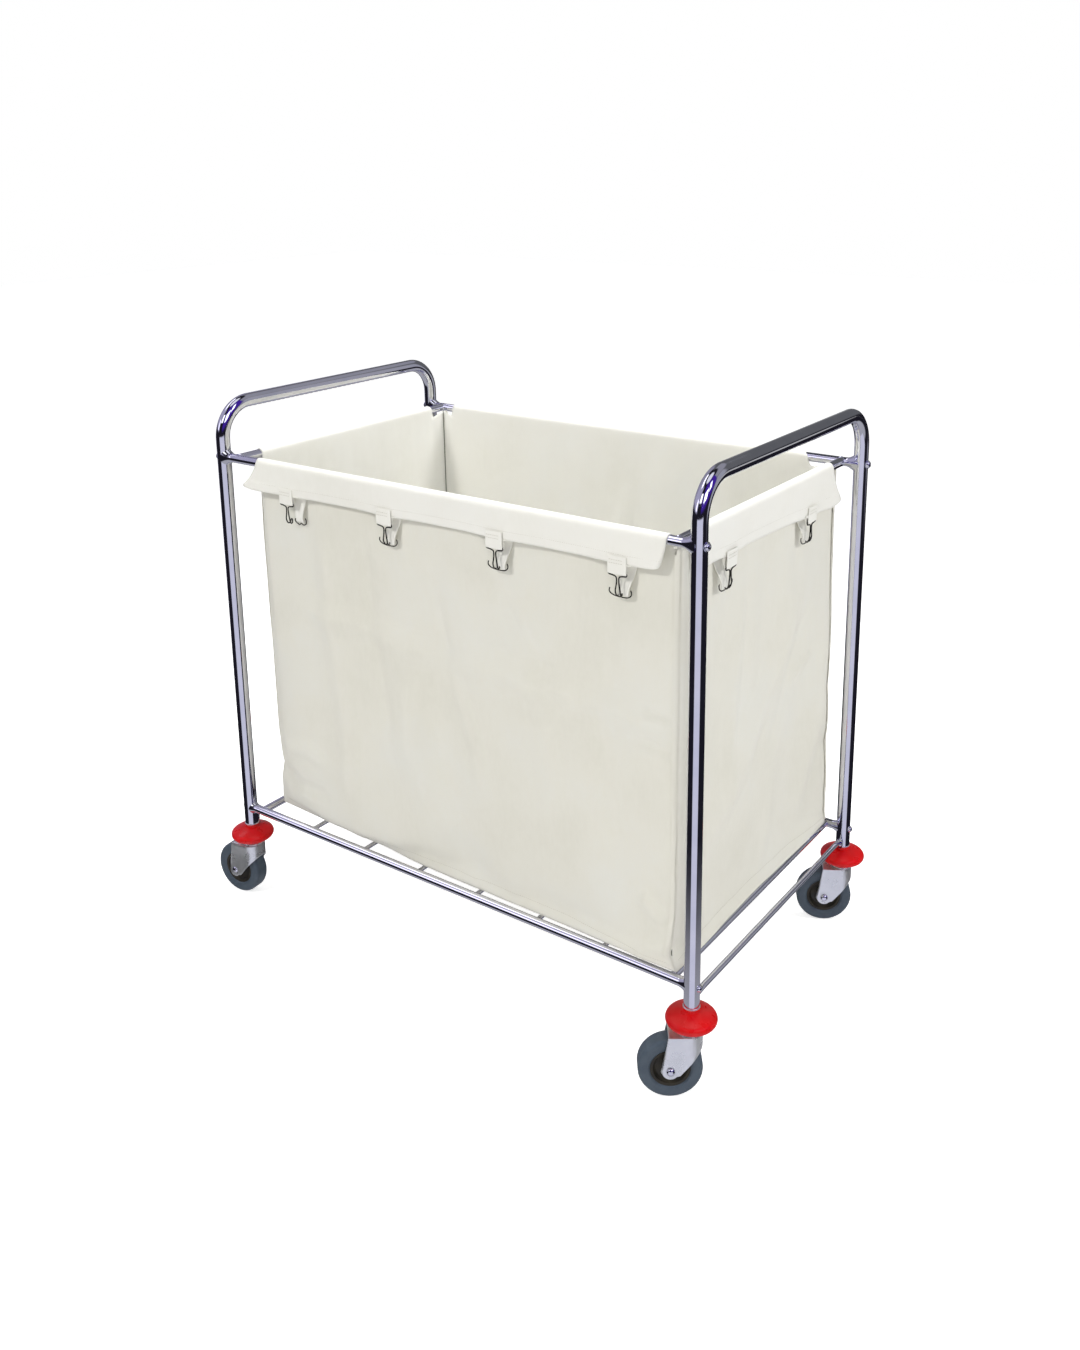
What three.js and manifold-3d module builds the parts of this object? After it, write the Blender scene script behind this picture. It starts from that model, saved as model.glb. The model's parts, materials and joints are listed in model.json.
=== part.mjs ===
// A linen trolley: two inverted-U chrome end frames joined by round rails, a deck of cross rods,
// four swivel casters with bumper discs, and an open canvas bag whose flaps fold over the top rails
// and are held down by wire snap hooks. Millimetres, +Z up, +X along the trolley, floor at z = 0.
import * as THREE from "three";
import { mergeVertices } from "three/addons/utils/BufferGeometryUtils.js";
import Module from "manifold-3d";

const wasm = await Module();
wasm.setup();

// ---- driving dimensions ----

const GAP = 0.3; // air left between two pieces that touch
const ROUND = 12; // sides of a tube
const SMALL_ROUND = 10; // sides of a bolt or a pin

// End frames: one bent tube each, two legs and a handle bar.
const LEG_SPACING_X = 974;
const LEG_SPACING_Y = 564;
const LEG_R = 12.5;
const LEG_WALL = 1.5;
const FOOT_Z = 150;
const HANDLE_Z = 972;
const HANDLE_BEND_R = 62;
const BEND_STEPS = 6;

// Top rails, and the saddle that widens each long rail's end to seat on a leg.
const TOP_RAIL_Z = 878;
const RAIL_R = 8;
const RAIL_WALL = 1.5;
const END_RAIL_X = 452;
const SADDLE = { radius: 14, length: 13, plug: 10 };
const DECK_SADDLE = { radius: 11, length: 9, plug: 10 };
const BOLT = { radius: 4, hole: 4.7, reach: 14, headRadius: 7, headHeight: 5 };

// Deck: two long rails, an end tube at each end and six thinner rods between.
const DECK_Z = 185;
const DECK_ROWS = 8;
const DECK_END_R = 6.5;
const DECK_ROD_R = 4;
const TIE_Z = 164;
const TIE_R = 5;
const TIE_TAB = { width: 12, thickness: 2.5, top: 5, bottom: -11 };

// Casters. The wheel's axle trails the swivel axis, and WHEEL_R reaches the flats of the tyre.
const WHEEL_SIDES = 24;
const WHEEL_R = 50;
const HUB_R = 31;
const TYRE_WIDTH = 30;
const TYRE_SHOULDER = 5;
const HUB_WIDTH = 34;
const HUB_BORE_R = 5.2;
const AXLE_R = 4.5;
const AXLE_HEAD_R = 6.5;
const TRAIL = 32;
const FORK = { inner: 37, plate: 2.5, crownZ: 106, crownR: 22, footR: 13, backX: 40, frontX: -18 };
const KINGPIN_R = 6;
const RACE = { rivetR: 10, lowerR: 20, upperR: 17 };
const PLUG_LENGTH = 52;
const BUMPER = { radius: 40, rimZ: 131, rimHalf: 6, bottomZ: 118, neckR: 17, boreR: 6.6 };
const CASTERS = [
  { name: "front_right", x: 1, y: -1, heading: 215 },
  { name: "front_left", x: -1, y: -1, heading: 185 },
  { name: "back_right", x: 1, y: 1, heading: 210 },
  { name: "back_left", x: -1, y: 1, heading: 145 },
];

// Bag: an open box of canvas inside the rails, and a flap folded over each rail.
const CLOTH = 3;
const BAG_FLOOR_Z = 190;
const CORNER_TOP_Z = 862;
const LONG_FLAP = { halfWidth: 425, bottomZ: 832 };
const END_FLAP = { halfWidth: 229, bottomZ: 820 };
const CLOTH_GAP = 0.5;

// Snap hooks hang from tabs on the flaps' lower edges.
const TAB_WIDTH = 32;
const TAB_DROP = 14;
const LONG_HOOKS = [-320, -92, 136, 360]; // seen from outside, on the front and on the back
const END_HOOKS = [-141, 141];
const WIRE_R = 1.1;
const HOOK = { barHalf: 15, neck: 3, neckDrop: 9, bellyHalf: 4.4, bellyDrop: 28, drop: 37, tip: 8 };

// Half the difference between how far the trailing wheels reach at the left end and how far the
// bumpers reach at the right end: it puts the origin under the middle of the whole trolley.
const ORIGIN_SHIFT_X = 21.5;

// ---- materials ----

const paint = (color, roughness, metalness) =>
  new THREE.MeshStandardMaterial({ color, roughness, metalness });
const chrome = paint(0xc9ccd2, 0.12, 1);
const steel = paint(0xb9bfbf, 0.35, 0.9);
const wire = paint(0x8f9294, 0.3, 1);
const redPlastic = paint(0xc81a1e, 0.35, 0);
const rubber = paint(0x47525e, 0.6, 0);
const hubPlastic = paint(0x26241f, 0.6, 0);
const canvas = paint(0xe6e3d6, 0.9, 0);

// ---- solids ----

// A closed three.js geometry as a manifold solid, and back.
function toSolid(geometry) {
  const bare = geometry.clone();
  bare.deleteAttribute("normal");
  bare.deleteAttribute("uv");
  const merged = mergeVertices(bare, 1e-4);
  const mesh = new wasm.Mesh({
    numProp: 3,
    vertProperties: Float32Array.from(merged.attributes.position.array),
    triVerts: Uint32Array.from(merged.index.array),
  });
  return new wasm.Manifold(mesh);
}

function toGeometry(solid) {
  const mesh = solid.getMesh();
  const geometry = new THREE.BufferGeometry();
  const positions = new THREE.BufferAttribute(Float32Array.from(mesh.vertProperties), 3);
  geometry.setAttribute("position", positions);
  geometry.setIndex(new THREE.BufferAttribute(Uint32Array.from(mesh.triVerts), 1));
  geometry.computeVertexNormals();
  return geometry;
}

// The first geometry joined with the others, then cut by the cutters.
function combine(pieces, cutters = []) {
  let solid = pieces.map(toSolid).reduce((a, b) => a.add(b));
  for (const cutter of cutters) solid = solid.subtract(toSolid(cutter));
  return toGeometry(solid);
}

// A solid of revolution about Z. The profile's [radius, z] points climb the outside first.
function turned(profile, sides = ROUND, phase = 0) {
  const points = profile.map(([radius, z]) => new THREE.Vector2(radius, z));
  return new THREE.LatheGeometry(points, sides, phase, Math.PI * 2).rotateX(Math.PI / 2);
}

function cylinder(radius, low, high, sides = ROUND) {
  return turned([[0, low], [radius, low], [radius, high], [0, high]], sides);
}

function tube(radius, wall, low, high, sides = ROUND) {
  const bore = radius - wall;
  return turned([[bore, low], [radius, low], [radius, high], [bore, high], [bore, low]], sides);
}

function block(low, high) {
  const size = high.map((value, axis) => value - low[axis]);
  const centre = high.map((value, axis) => (value + low[axis]) / 2);
  return new THREE.BoxGeometry(...size).translate(...centre);
}

const alongX = (geometry) => geometry.rotateY(Math.PI / 2);
const alongY = (geometry) => geometry.rotateX(-Math.PI / 2);

// A curve made of chosen stations, so that straight runs need no steps and bends get enough.
class StationPath extends THREE.Curve {
  constructor(stations) {
    super();
    this.stations = stations;
  }
  station(t) {
    return this.stations[Math.round(t * (this.stations.length - 1))];
  }
  getPoint(t) {
    return this.station(t).at.clone();
  }
  getTangent(t) {
    return this.station(t).along.clone();
  }
  getUtoTmapping(u) {
    return u;
  }
}

function swept(stations, radius, sides, bore = 0) {
  const section = new THREE.Shape(ring(radius, sides));
  if (bore) section.holes.push(new THREE.Path(ring(bore, sides)));
  const extrudePath = new StationPath(stations);
  return new THREE.ExtrudeGeometry(section, { steps: stations.length - 1, extrudePath });
}

function ring(radius, sides) {
  return Array.from({ length: sides }, (_, i) => {
    const angle = ((i + 0.5) / sides) * Math.PI * 2;
    return new THREE.Vector2(Math.cos(angle) * radius, Math.sin(angle) * radius);
  });
}

// ---- frame ----

// Stations up one leg, round both bends and down the other leg, in the YZ plane.
function archStations() {
  const legY = LEG_SPACING_Y / 2;
  const bendY = legY - HANDLE_BEND_R;
  const bendZ = HANDLE_Z - HANDLE_BEND_R;
  const stations = [];
  const add = (y, z, angle) =>
    stations.push({
      at: new THREE.Vector3(0, y, z),
      along: new THREE.Vector3(0, Math.sin(angle), Math.cos(angle)),
    });
  add(-legY, FOOT_Z, 0);
  for (const side of [-1, 1]) {
    for (let i = 0; i <= BEND_STEPS; i++) {
      const turn = ((i / BEND_STEPS) * Math.PI) / 2;
      const angle = side < 0 ? turn : Math.PI / 2 + turn;
      const y = side * bendY - Math.cos(angle) * HANDLE_BEND_R;
      add(y, bendZ + Math.sin(angle) * HANDLE_BEND_R, angle);
    }
  }
  add(legY, FOOT_Z, Math.PI);
  return stations;
}

function endFrame() {
  const arch = swept(archStations(), LEG_R, ROUND, LEG_R - LEG_WALL);
  const hole = (side) =>
    alongX(cylinder(BOLT.hole, -LEG_R - 5, LEG_R + 5, 8)).translate(
      0,
      (side * LEG_SPACING_Y) / 2,
      TOP_RAIL_Z,
    );
  return combine([arch], [hole(-1), hole(1)]);
}

// A long rail between two legs: a hollow tube whose ends widen into saddles that hug the legs,
// each closed by a plug with a threaded hole.
function longRail(saddle) {
  const end = LEG_SPACING_X / 2;
  const bore = RAIL_R - RAIL_WALL;
  const inner = end - LEG_R;
  const profile = [
    [BOLT.hole, -end],
    [saddle.radius, -end],
    [saddle.radius, -inner],
    [RAIL_R, -inner + saddle.length],
    [RAIL_R, inner - saddle.length],
    [saddle.radius, inner],
    [saddle.radius, end],
    [BOLT.hole, end],
    [BOLT.hole, inner - saddle.plug],
    [bore, inner - saddle.plug],
    [bore, -inner + saddle.plug],
    [BOLT.hole, -inner + saddle.plug],
    [BOLT.hole, -end],
  ];
  const legs = [-1, 1].map((side) =>
    cylinder(LEG_R + GAP, -40, 40, 24).translate(side * end, 0, 0),
  );
  const beyondLegs = [-1, 1].map((side) =>
    new THREE.BoxGeometry(2 * LEG_R, 40, 40).translate(side * (end + LEG_R), 0, 0),
  );
  return combine([alongX(turned(profile))], [...legs, ...beyondLegs]);
}

// A cross tube or rod that meets the two long rails square on.
function crossRail(radius, wall) {
  const reach = LEG_SPACING_Y / 2 - RAIL_R - GAP;
  return alongY(wall ? tube(radius, wall, -reach, reach) : cylinder(radius, -reach, reach, 8));
}

// The low tie between two legs: a rod whose flattened ends turn down against the legs.
function tieRail() {
  const reach = LEG_SPACING_Y / 2 - LEG_R - GAP;
  const rod = alongY(cylinder(TIE_R, -reach + 1, reach - 1, 10));
  const tabs = [-1, 1].map((side) => {
    const faceY = side * (reach - TIE_TAB.thickness / 2);
    const size = [TIE_TAB.width, TIE_TAB.thickness, TIE_TAB.top - TIE_TAB.bottom];
    const middle = (TIE_TAB.top + TIE_TAB.bottom) / 2;
    return new THREE.BoxGeometry(...size).translate(0, faceY, middle);
  });
  return combine([rod, ...tabs]);
}

// A bolt along +X: the domed head outside a leg, the shank through it into the rail's plug.
function railBolt() {
  const { radius, headRadius, headHeight, reach } = BOLT;
  const face = LEG_R + GAP;
  const profile = [
    [0, -LEG_R - reach],
    [radius, -LEG_R - reach],
    [radius, face],
    [headRadius, face],
    [headRadius, face + 1],
    [headRadius * 0.7, face + headHeight * 0.8],
    [0, face + headHeight],
  ];
  return alongX(turned(profile, SMALL_ROUND));
}

// ---- casters, each about its swivel axis with the wheel trailing along +X ----

function bumper() {
  const { radius, rimZ, rimHalf, bottomZ, neckR, boreR } = BUMPER;
  const top = FOOT_Z - GAP;
  const profile = [
    [boreR, bottomZ],
    [radius * 0.65, bottomZ],
    [radius - 3, rimZ - rimHalf],
    [radius, rimZ],
    [radius - 3, rimZ + rimHalf],
    [radius * 0.65, rimZ + rimHalf + 5],
    [neckR, top],
    [boreR, top],
    [boreR, bottomZ],
  ];
  return turned(profile, 20);
}

// The kingpin: a rivet head under the fork's crown, the swivel race on top of it, and the
// expanding plug that grips the inside of the leg.
function kingpin() {
  const crownTop = FORK.crownZ + FORK.plate;
  const plugR = LEG_R - LEG_WALL - 2 * GAP;
  const profile = [
    [0, FORK.crownZ - 5],
    [RACE.rivetR, FORK.crownZ - 5],
    [RACE.rivetR, FORK.crownZ - GAP],
    [KINGPIN_R, FORK.crownZ - GAP],
    [KINGPIN_R, crownTop + GAP],
    [RACE.lowerR, crownTop + GAP],
    [RACE.upperR, BUMPER.bottomZ - GAP],
    [KINGPIN_R, BUMPER.bottomZ - GAP],
    [KINGPIN_R, FOOT_Z + 4],
    [plugR, FOOT_Z + 5],
    [plugR, FOOT_Z + PLUG_LENGTH],
    [0, FOOT_Z + PLUG_LENGTH],
  ];
  return turned(profile, SMALL_ROUND);
}

// One side plate in the XZ plane: wide under the crown, running down to a round end at the axle.
function forkOutline() {
  const { crownZ, plate, footR, backX, frontX } = FORK;
  const outline = new THREE.Shape();
  outline.moveTo(frontX, crownZ + plate);
  outline.lineTo(frontX, crownZ - 14);
  const start = Math.PI * 1.22;
  outline.absarc(TRAIL, WHEEL_R, footR, start, Math.PI * 2.06, false);
  outline.lineTo(backX, crownZ - 10);
  outline.lineTo(backX - 6, crownZ + plate);
  outline.closePath();
  return outline;
}

function fork() {
  const { inner, plate, crownZ, crownR, frontX } = FORK;
  const half = inner / 2;
  const pressed = { depth: plate, bevelEnabled: false, curveSegments: 6 };
  const side = (y) =>
    new THREE.ExtrudeGeometry(forkOutline(), pressed)
      .rotateX(Math.PI / 2)
      .translate(0, y + plate / 2, 0);
  const plateY = half + plate / 2;
  const crown = cylinder(crownR, crownZ, crownZ + plate, 16);
  const bridge = block([frontX, -plateY, crownZ], [FORK.backX - 6, plateY, crownZ + plate]);
  const web = block([frontX, -plateY, crownZ - 14], [frontX + plate, plateY, crownZ + plate]);
  const kingpinHole = cylinder(KINGPIN_R + 0.5, crownZ - 5, crownZ + 9, SMALL_ROUND);
  const axleHole = alongY(cylinder(AXLE_R + 0.4, -half - 9, half + 9, SMALL_ROUND));
  axleHole.translate(TRAIL, 0, WHEEL_R);
  return combine([side(-plateY), side(plateY), crown, bridge, web], [kingpinHole, axleHole]);
}

function axle() {
  const face = FORK.inner / 2 + FORK.plate + GAP;
  const head = [
    [AXLE_HEAD_R, face],
    [AXLE_HEAD_R * 0.8, face + 3.5],
    [0, face + 4.5],
  ];
  const tail = head.map(([radius, y]) => [radius, -y]).reverse();
  return alongY(turned([...tail, [AXLE_R, -face], [AXLE_R, face], ...head], SMALL_ROUND));
}

// The wheel's core: a boss on the axle, a dished web and a rim under the tyre.
function hub() {
  const boss = HUB_WIDTH / 2;
  const rim = TYRE_WIDTH / 2 - 2;
  const profile = [
    [HUB_BORE_R, -boss],
    [11, -boss],
    [13, -rim + 4],
    [HUB_R - 3, -rim],
    [HUB_R, -rim],
    [HUB_R, rim],
    [HUB_R - 3, rim],
    [13, rim - 4],
    [11, boss],
    [HUB_BORE_R, boss],
    [HUB_BORE_R, -boss],
  ];
  return alongY(turned(profile, WHEEL_SIDES));
}

// The tyre, turned so that one of its flats faces the floor.
function tyre() {
  const toCorner = 1 / Math.cos(Math.PI / WHEEL_SIDES);
  const outer = WHEEL_R * toCorner;
  const inner = HUB_R + GAP * 2;
  const half = TYRE_WIDTH / 2;
  const profile = [
    [inner, -half],
    [outer - TYRE_SHOULDER, -half],
    [outer, -half + TYRE_SHOULDER],
    [outer, half - TYRE_SHOULDER],
    [outer - TYRE_SHOULDER, half],
    [inner, half],
    [inner, -half],
  ];
  return alongY(turned(profile, WHEEL_SIDES, Math.PI / WHEEL_SIDES));
}

// ---- bag and hooks ----

const wallY = LEG_SPACING_Y / 2 - RAIL_R - CLOTH_GAP;
const wallX = END_RAIL_X - RAIL_R - CLOTH_GAP;
const overRailZ = TOP_RAIL_Z + RAIL_R + CLOTH_GAP;

// The upper wall, the strip over the rail, the flap and its tabs on one side, facing -Y.
function flapPieces(wall, rail, flap, hooks) {
  const flapY = rail + RAIL_R + CLOTH_GAP;
  const { halfWidth, bottomZ } = flap;
  const strip = (near, far, low, high) =>
    block([-halfWidth, -far, low], [halfWidth, -near, high]);
  const tabs = hooks.map((x) =>
    block(
      [x - TAB_WIDTH / 2, -flapY - CLOTH, bottomZ - TAB_DROP + WIRE_R + GAP],
      [x + TAB_WIDTH / 2, -flapY, bottomZ + 2],
    ),
  );
  return [
    strip(wall - CLOTH, wall, CORNER_TOP_Z - 2, overRailZ + CLOTH),
    strip(wall - CLOTH, flapY + CLOTH, overRailZ, overRailZ + CLOTH),
    strip(flapY, flapY + CLOTH, bottomZ, overRailZ + CLOTH),
    ...tabs,
  ];
}

// The four sides of the bag: which way each faces, its rail, its flap and its hooks.
const SIDES = [
  { name: "front", turn: 0, wall: wallY, rail: LEG_SPACING_Y / 2, flap: LONG_FLAP, hooks: LONG_HOOKS },
  { name: "right", turn: 90, wall: wallX, rail: END_RAIL_X, flap: END_FLAP, hooks: END_HOOKS },
  { name: "back", turn: 180, wall: wallY, rail: LEG_SPACING_Y / 2, flap: LONG_FLAP, hooks: LONG_HOOKS },
  { name: "left", turn: 270, wall: wallX, rail: END_RAIL_X, flap: END_FLAP, hooks: END_HOOKS },
];

function bag() {
  const outer = block([-wallX, -wallY, BAG_FLOOR_Z], [wallX, wallY, CORNER_TOP_Z]);
  const hollow = block(
    [-wallX + CLOTH, -wallY + CLOTH, BAG_FLOOR_Z + CLOTH],
    [wallX - CLOTH, wallY - CLOTH, CORNER_TOP_Z + 9],
  );
  const shell = toGeometry(toSolid(outer).subtract(toSolid(hollow)));
  const flaps = SIDES.flatMap(({ turn, wall, rail, flap, hooks }) =>
    flapPieces(wall, rail, flap, hooks).map((piece) =>
      piece.rotateZ(THREE.MathUtils.degToRad(turn)),
    ),
  );
  return combine([shell, ...flaps]);
}

// A snap hook, hanging from its bar along X and curling in towards the bag (+Y) at its foot: two
// mirrored halves of one wire, from the middle of the bar to the tip.
function hook() {
  const { barHalf, neck, neckDrop, bellyHalf, bellyDrop, drop, tip } = HOOK;
  const overlap = WIRE_R / 2;
  const corners = [
    [-overlap, 0, 0],
    [barHalf - 1, 0, 0],
    [barHalf, 0, -2],
    [neck, 0, -neckDrop],
    [bellyHalf, 0, -bellyDrop],
    [bellyHalf * 0.8, tip * 0.3, -drop],
    [bellyHalf * 0.6, tip * 0.9, -drop + 2],
    [1.5, tip, -drop + 8],
    [-overlap, tip, -drop + 8.5],
  ].map((corner) => new THREE.Vector3(...corner));
  const half = wireThrough(corners);
  const other = half.clone().applyMatrix4(new THREE.Matrix4().makeScale(-1, 1, 1));
  return combine([half, turnedInsideOut(other)]);
}

// A wire through the corners, its section square to the average direction at each one.
function wireThrough(corners) {
  const last = corners.length - 1;
  const stations = corners.map((at, i) => {
    const before = corners[Math.max(i - 1, 0)];
    const after = corners[Math.min(i + 1, last)];
    return { at, along: after.clone().sub(before).normalize() };
  });
  return swept(stations, WIRE_R, 4);
}

// A mirrored geometry's faces point inwards: this turns each one round.
function turnedInsideOut(geometry) {
  const position = geometry.attributes.position;
  for (let i = 0; i < position.count; i += 3) {
    const a = new THREE.Vector3().fromBufferAttribute(position, i + 1);
    const b = new THREE.Vector3().fromBufferAttribute(position, i + 2);
    position.setXYZ(i + 1, b.x, b.y, b.z);
    position.setXYZ(i + 2, a.x, a.y, a.z);
  }
  return geometry;
}

// ---- assembly ----

const trolley = new THREE.Group();
trolley.position.x = ORIGIN_SHIFT_X;

function add(parent, name, geometry, material, x = 0, y = 0, z = 0) {
  const mesh = new THREE.Mesh(geometry, material);
  mesh.name = name;
  mesh.position.set(x, y, z);
  parent.add(mesh);
  return mesh;
}

const LEG_X = LEG_SPACING_X / 2;
const LEG_Y = LEG_SPACING_Y / 2;

for (const [end, side] of [["left", -1], ["right", 1]]) {
  add(trolley, `${end}_end_frame`, endFrame(), chrome, side * LEG_X);
  const endRail = crossRail(RAIL_R, RAIL_WALL);
  add(trolley, `${end}_top_rail`, endRail, chrome, side * END_RAIL_X, 0, TOP_RAIL_Z);
  add(trolley, `${end}_tie_rail`, tieRail(), chrome, side * LEG_X, 0, TIE_Z);
}

for (const [edge, side] of [["front", -1], ["back", 1]]) {
  add(trolley, `${edge}_top_rail`, longRail(SADDLE), chrome, 0, side * LEG_Y, TOP_RAIL_Z);
  add(trolley, `${edge}_deck_rail`, longRail(DECK_SADDLE), chrome, 0, side * LEG_Y, DECK_Z);
}

for (let row = 0; row < DECK_ROWS; row++) {
  const atEnd = row === 0 || row === DECK_ROWS - 1;
  const x = -END_RAIL_X + (2 * END_RAIL_X * row) / (DECK_ROWS - 1);
  const rod = atEnd ? crossRail(DECK_END_R, RAIL_WALL) : crossRail(DECK_ROD_R);
  add(trolley, `deck_${atEnd ? "end_tube" : "rod"}_${row + 1}`, rod, chrome, x, 0, DECK_Z);
}

for (const { name, x, y, heading } of CASTERS) {
  const leg = new THREE.Group();
  leg.position.set(x * LEG_X, y * LEG_Y, 0);
  trolley.add(leg);
  const bolt = add(leg, `${name}_rail_bolt`, railBolt(), steel, 0, 0, TOP_RAIL_Z);
  bolt.rotation.z = x < 0 ? Math.PI : 0;
  add(leg, `${name}_bumper`, bumper(), redPlastic);
  add(leg, `${name}_kingpin`, kingpin(), steel);
  const swivel = new THREE.Group();
  swivel.rotation.z = THREE.MathUtils.degToRad(heading);
  leg.add(swivel);
  add(swivel, `${name}_fork`, fork(), steel);
  add(swivel, `${name}_axle`, axle(), steel, TRAIL, 0, WHEEL_R);
  add(swivel, `${name}_hub`, hub(), hubPlastic, TRAIL, 0, WHEEL_R);
  add(swivel, `${name}_tyre`, tyre(), rubber, TRAIL, 0, WHEEL_R);
}

add(trolley, "bag", bag(), canvas);

for (const { name, turn, rail, flap, hooks } of SIDES) {
  const side = new THREE.Group();
  side.rotation.z = THREE.MathUtils.degToRad(turn);
  trolley.add(side);
  const y = -rail - RAIL_R - CLOTH_GAP - CLOTH / 2;
  hooks.forEach((x, i) => {
    add(side, `${name}_hook_${i + 1}`, hook(), wire, x, y, flap.bottomZ - TAB_DROP);
  });
}

export default trolley;
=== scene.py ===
"""A linen trolley: a bright chrome tube frame on four swivel casters with red bumper discs, and an
open canvas bag whose flaps fold over the top rails and are held down by wire snap hooks.

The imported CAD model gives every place; this script makes the fine surfaces around it.
Metres, +X along the trolley, +Y away from the camera's side, +Z up, floor at z = 0.
"""

import json
import math

import bmesh
import bpy
import numpy as np
from mathutils import Matrix, Vector, noise
from mathutils.bvhtree import BVHTree

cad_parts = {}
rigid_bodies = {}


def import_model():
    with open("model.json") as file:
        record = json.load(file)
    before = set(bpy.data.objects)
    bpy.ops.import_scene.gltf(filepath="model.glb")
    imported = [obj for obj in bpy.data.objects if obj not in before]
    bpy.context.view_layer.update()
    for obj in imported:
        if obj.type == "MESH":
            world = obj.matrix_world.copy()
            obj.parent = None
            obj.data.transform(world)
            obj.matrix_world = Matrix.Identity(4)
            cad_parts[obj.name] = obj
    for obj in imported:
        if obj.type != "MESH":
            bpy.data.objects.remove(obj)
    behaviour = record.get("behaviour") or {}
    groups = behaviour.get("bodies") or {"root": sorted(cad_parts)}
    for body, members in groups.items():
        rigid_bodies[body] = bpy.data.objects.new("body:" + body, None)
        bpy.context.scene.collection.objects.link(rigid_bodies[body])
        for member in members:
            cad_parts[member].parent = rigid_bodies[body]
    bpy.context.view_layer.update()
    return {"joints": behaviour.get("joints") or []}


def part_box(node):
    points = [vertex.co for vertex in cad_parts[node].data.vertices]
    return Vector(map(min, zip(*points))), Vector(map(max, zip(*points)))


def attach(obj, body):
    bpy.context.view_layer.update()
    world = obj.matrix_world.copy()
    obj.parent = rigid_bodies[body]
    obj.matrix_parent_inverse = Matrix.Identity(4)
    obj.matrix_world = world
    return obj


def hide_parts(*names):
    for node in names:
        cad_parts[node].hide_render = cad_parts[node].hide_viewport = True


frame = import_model()

MM = 0.001
CORNERS = ("front_right", "front_left", "back_right", "back_left")
FRAME = "frame"  # the body that everything fixed rides on


def middle(node):
    low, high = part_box(node)
    return (low + high) / 2


# ---- the frame's places, read from the CAD nodes ----

LEGS = {corner: middle(f"{corner}_kingpin") for corner in CORNERS}
CENTRE_X = (LEGS["front_right"].x + LEGS["front_left"].x) / 2
LEG_Y = LEGS["back_right"].y
TOP_RAIL_Z = middle("front_top_rail").z
DECK_Z = middle("front_deck_rail").z
FOOT_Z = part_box("right_end_frame")[0].z
HANDLE_TOP_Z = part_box("right_end_frame")[1].z
JOINTS = {joint["name"]: joint for joint in frame["joints"]}

# ---- driving dimensions of the fine surfaces ----

LEG_R = 12.5 * MM
LEG_WALL = 1.5 * MM
HANDLE_BEND_R = 62 * MM
RAIL_R = 8 * MM
DECK_END_R = 6.5 * MM
DECK_ROD_R = 4 * MM
TIE_R = 5 * MM
WIRE_R = 1.1 * MM
CANVAS = 1.3 * MM


# ---- meshes ----


def link(obj):
    bpy.context.scene.collection.objects.link(obj)
    return obj


def mesh_piece(name, points, faces, sharp_angle=35):
    """A smooth-shaded mesh, with its edges kept sharp where its faces meet at more than the angle."""
    mesh = bpy.data.meshes.new(name)
    mesh.from_pydata([tuple(point) for point in points], [], faces)
    tidy = bmesh.new()
    tidy.from_mesh(mesh)
    bmesh.ops.remove_doubles(tidy, verts=tidy.verts, dist=1e-6)
    bmesh.ops.recalc_face_normals(tidy, faces=tidy.faces)
    tidy.to_mesh(mesh)
    tidy.free()
    mesh.shade_smooth()
    mesh.set_sharp_from_angle(angle=math.radians(sharp_angle))
    return link(bpy.data.objects.new(name, mesh))


def grid_faces(rows, columns, wrap=False):
    """Quads over rows x columns points, numbered row by row, and round to the first column again."""
    last = columns if wrap else columns - 1
    return [
        (
            row * columns + column,
            row * columns + (column + 1) % columns,
            (row + 1) * columns + (column + 1) % columns,
            (row + 1) * columns + column,
        )
        for row in range(rows - 1)
        for column in range(last)
    ]


def revolved(name, profile, sides=64, place=None, sharp_angle=35):
    """A solid of revolution about Z through the [radius, height] points, moved by a matrix."""
    turns = [2 * math.pi * side / sides for side in range(sides)]
    points = [
        Vector((radius * math.cos(turn), radius * math.sin(turn), height))
        for radius, height in profile
        for turn in turns
    ]
    faces = grid_faces(len(profile), sides, wrap=True)
    if profile[0] != profile[-1]:
        last = (len(profile) - 1) * sides
        faces += [tuple(range(sides)), tuple(range(last, last + sides))]
    if place:
        points = [place @ point for point in points]
    return mesh_piece(name, points, faces, sharp_angle)


def round_wire(name, points, radius, closed=False, sides=16):
    """A round bar along a path, as a curve turned into a mesh."""
    curve = bpy.data.curves.new(name, "CURVE")
    curve.dimensions = "3D"
    curve.bevel_depth = radius
    curve.bevel_resolution = sides // 4 - 1
    curve.use_fill_caps = not closed
    spline = curve.splines.new("POLY")
    spline.points.add(len(points) - 1)
    for spot, point in zip(spline.points, points):
        spot.co = (*point, 1)
    spline.use_cyclic_u = closed
    source = link(bpy.data.objects.new(name, curve))
    shape = source.evaluated_get(bpy.context.evaluated_depsgraph_get())
    mesh = bpy.data.meshes.new_from_object(shape)
    bpy.data.objects.remove(source)
    mesh.shade_smooth()
    mesh.set_sharp_from_angle(angle=math.radians(50))
    return link(bpy.data.objects.new(name, mesh))


def smooth_path(corners, steps=8, closed=False):
    """A Catmull-Rom curve through the corners."""
    count = len(corners)
    path = []
    for i in range(count if closed else count - 1):
        a, b, c, d = (
            Vector(corners[(i + k) % count if closed else min(max(i + k, 0), count - 1)])
            for k in (-1, 0, 1, 2)
        )
        for step in range(steps):
            t = step / steps
            path.append(
                0.5
                * (
                    2 * b
                    + (c - a) * t
                    + (2 * a - 5 * b + 4 * c - d) * t * t
                    + (3 * b - a - 3 * c + d) * t**3
                )
            )
    if not closed:
        path.append(Vector(corners[-1]))
    return path


def dress(piece, material, body=FRAME, nodes=()):
    """Gives a piece its material and the body that it moves with, and hides the CAD nodes it stands for."""
    piece.data.materials.clear()
    piece.data.materials.append(material)
    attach(piece, body)
    if nodes:
        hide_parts(*nodes)
    return piece


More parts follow.
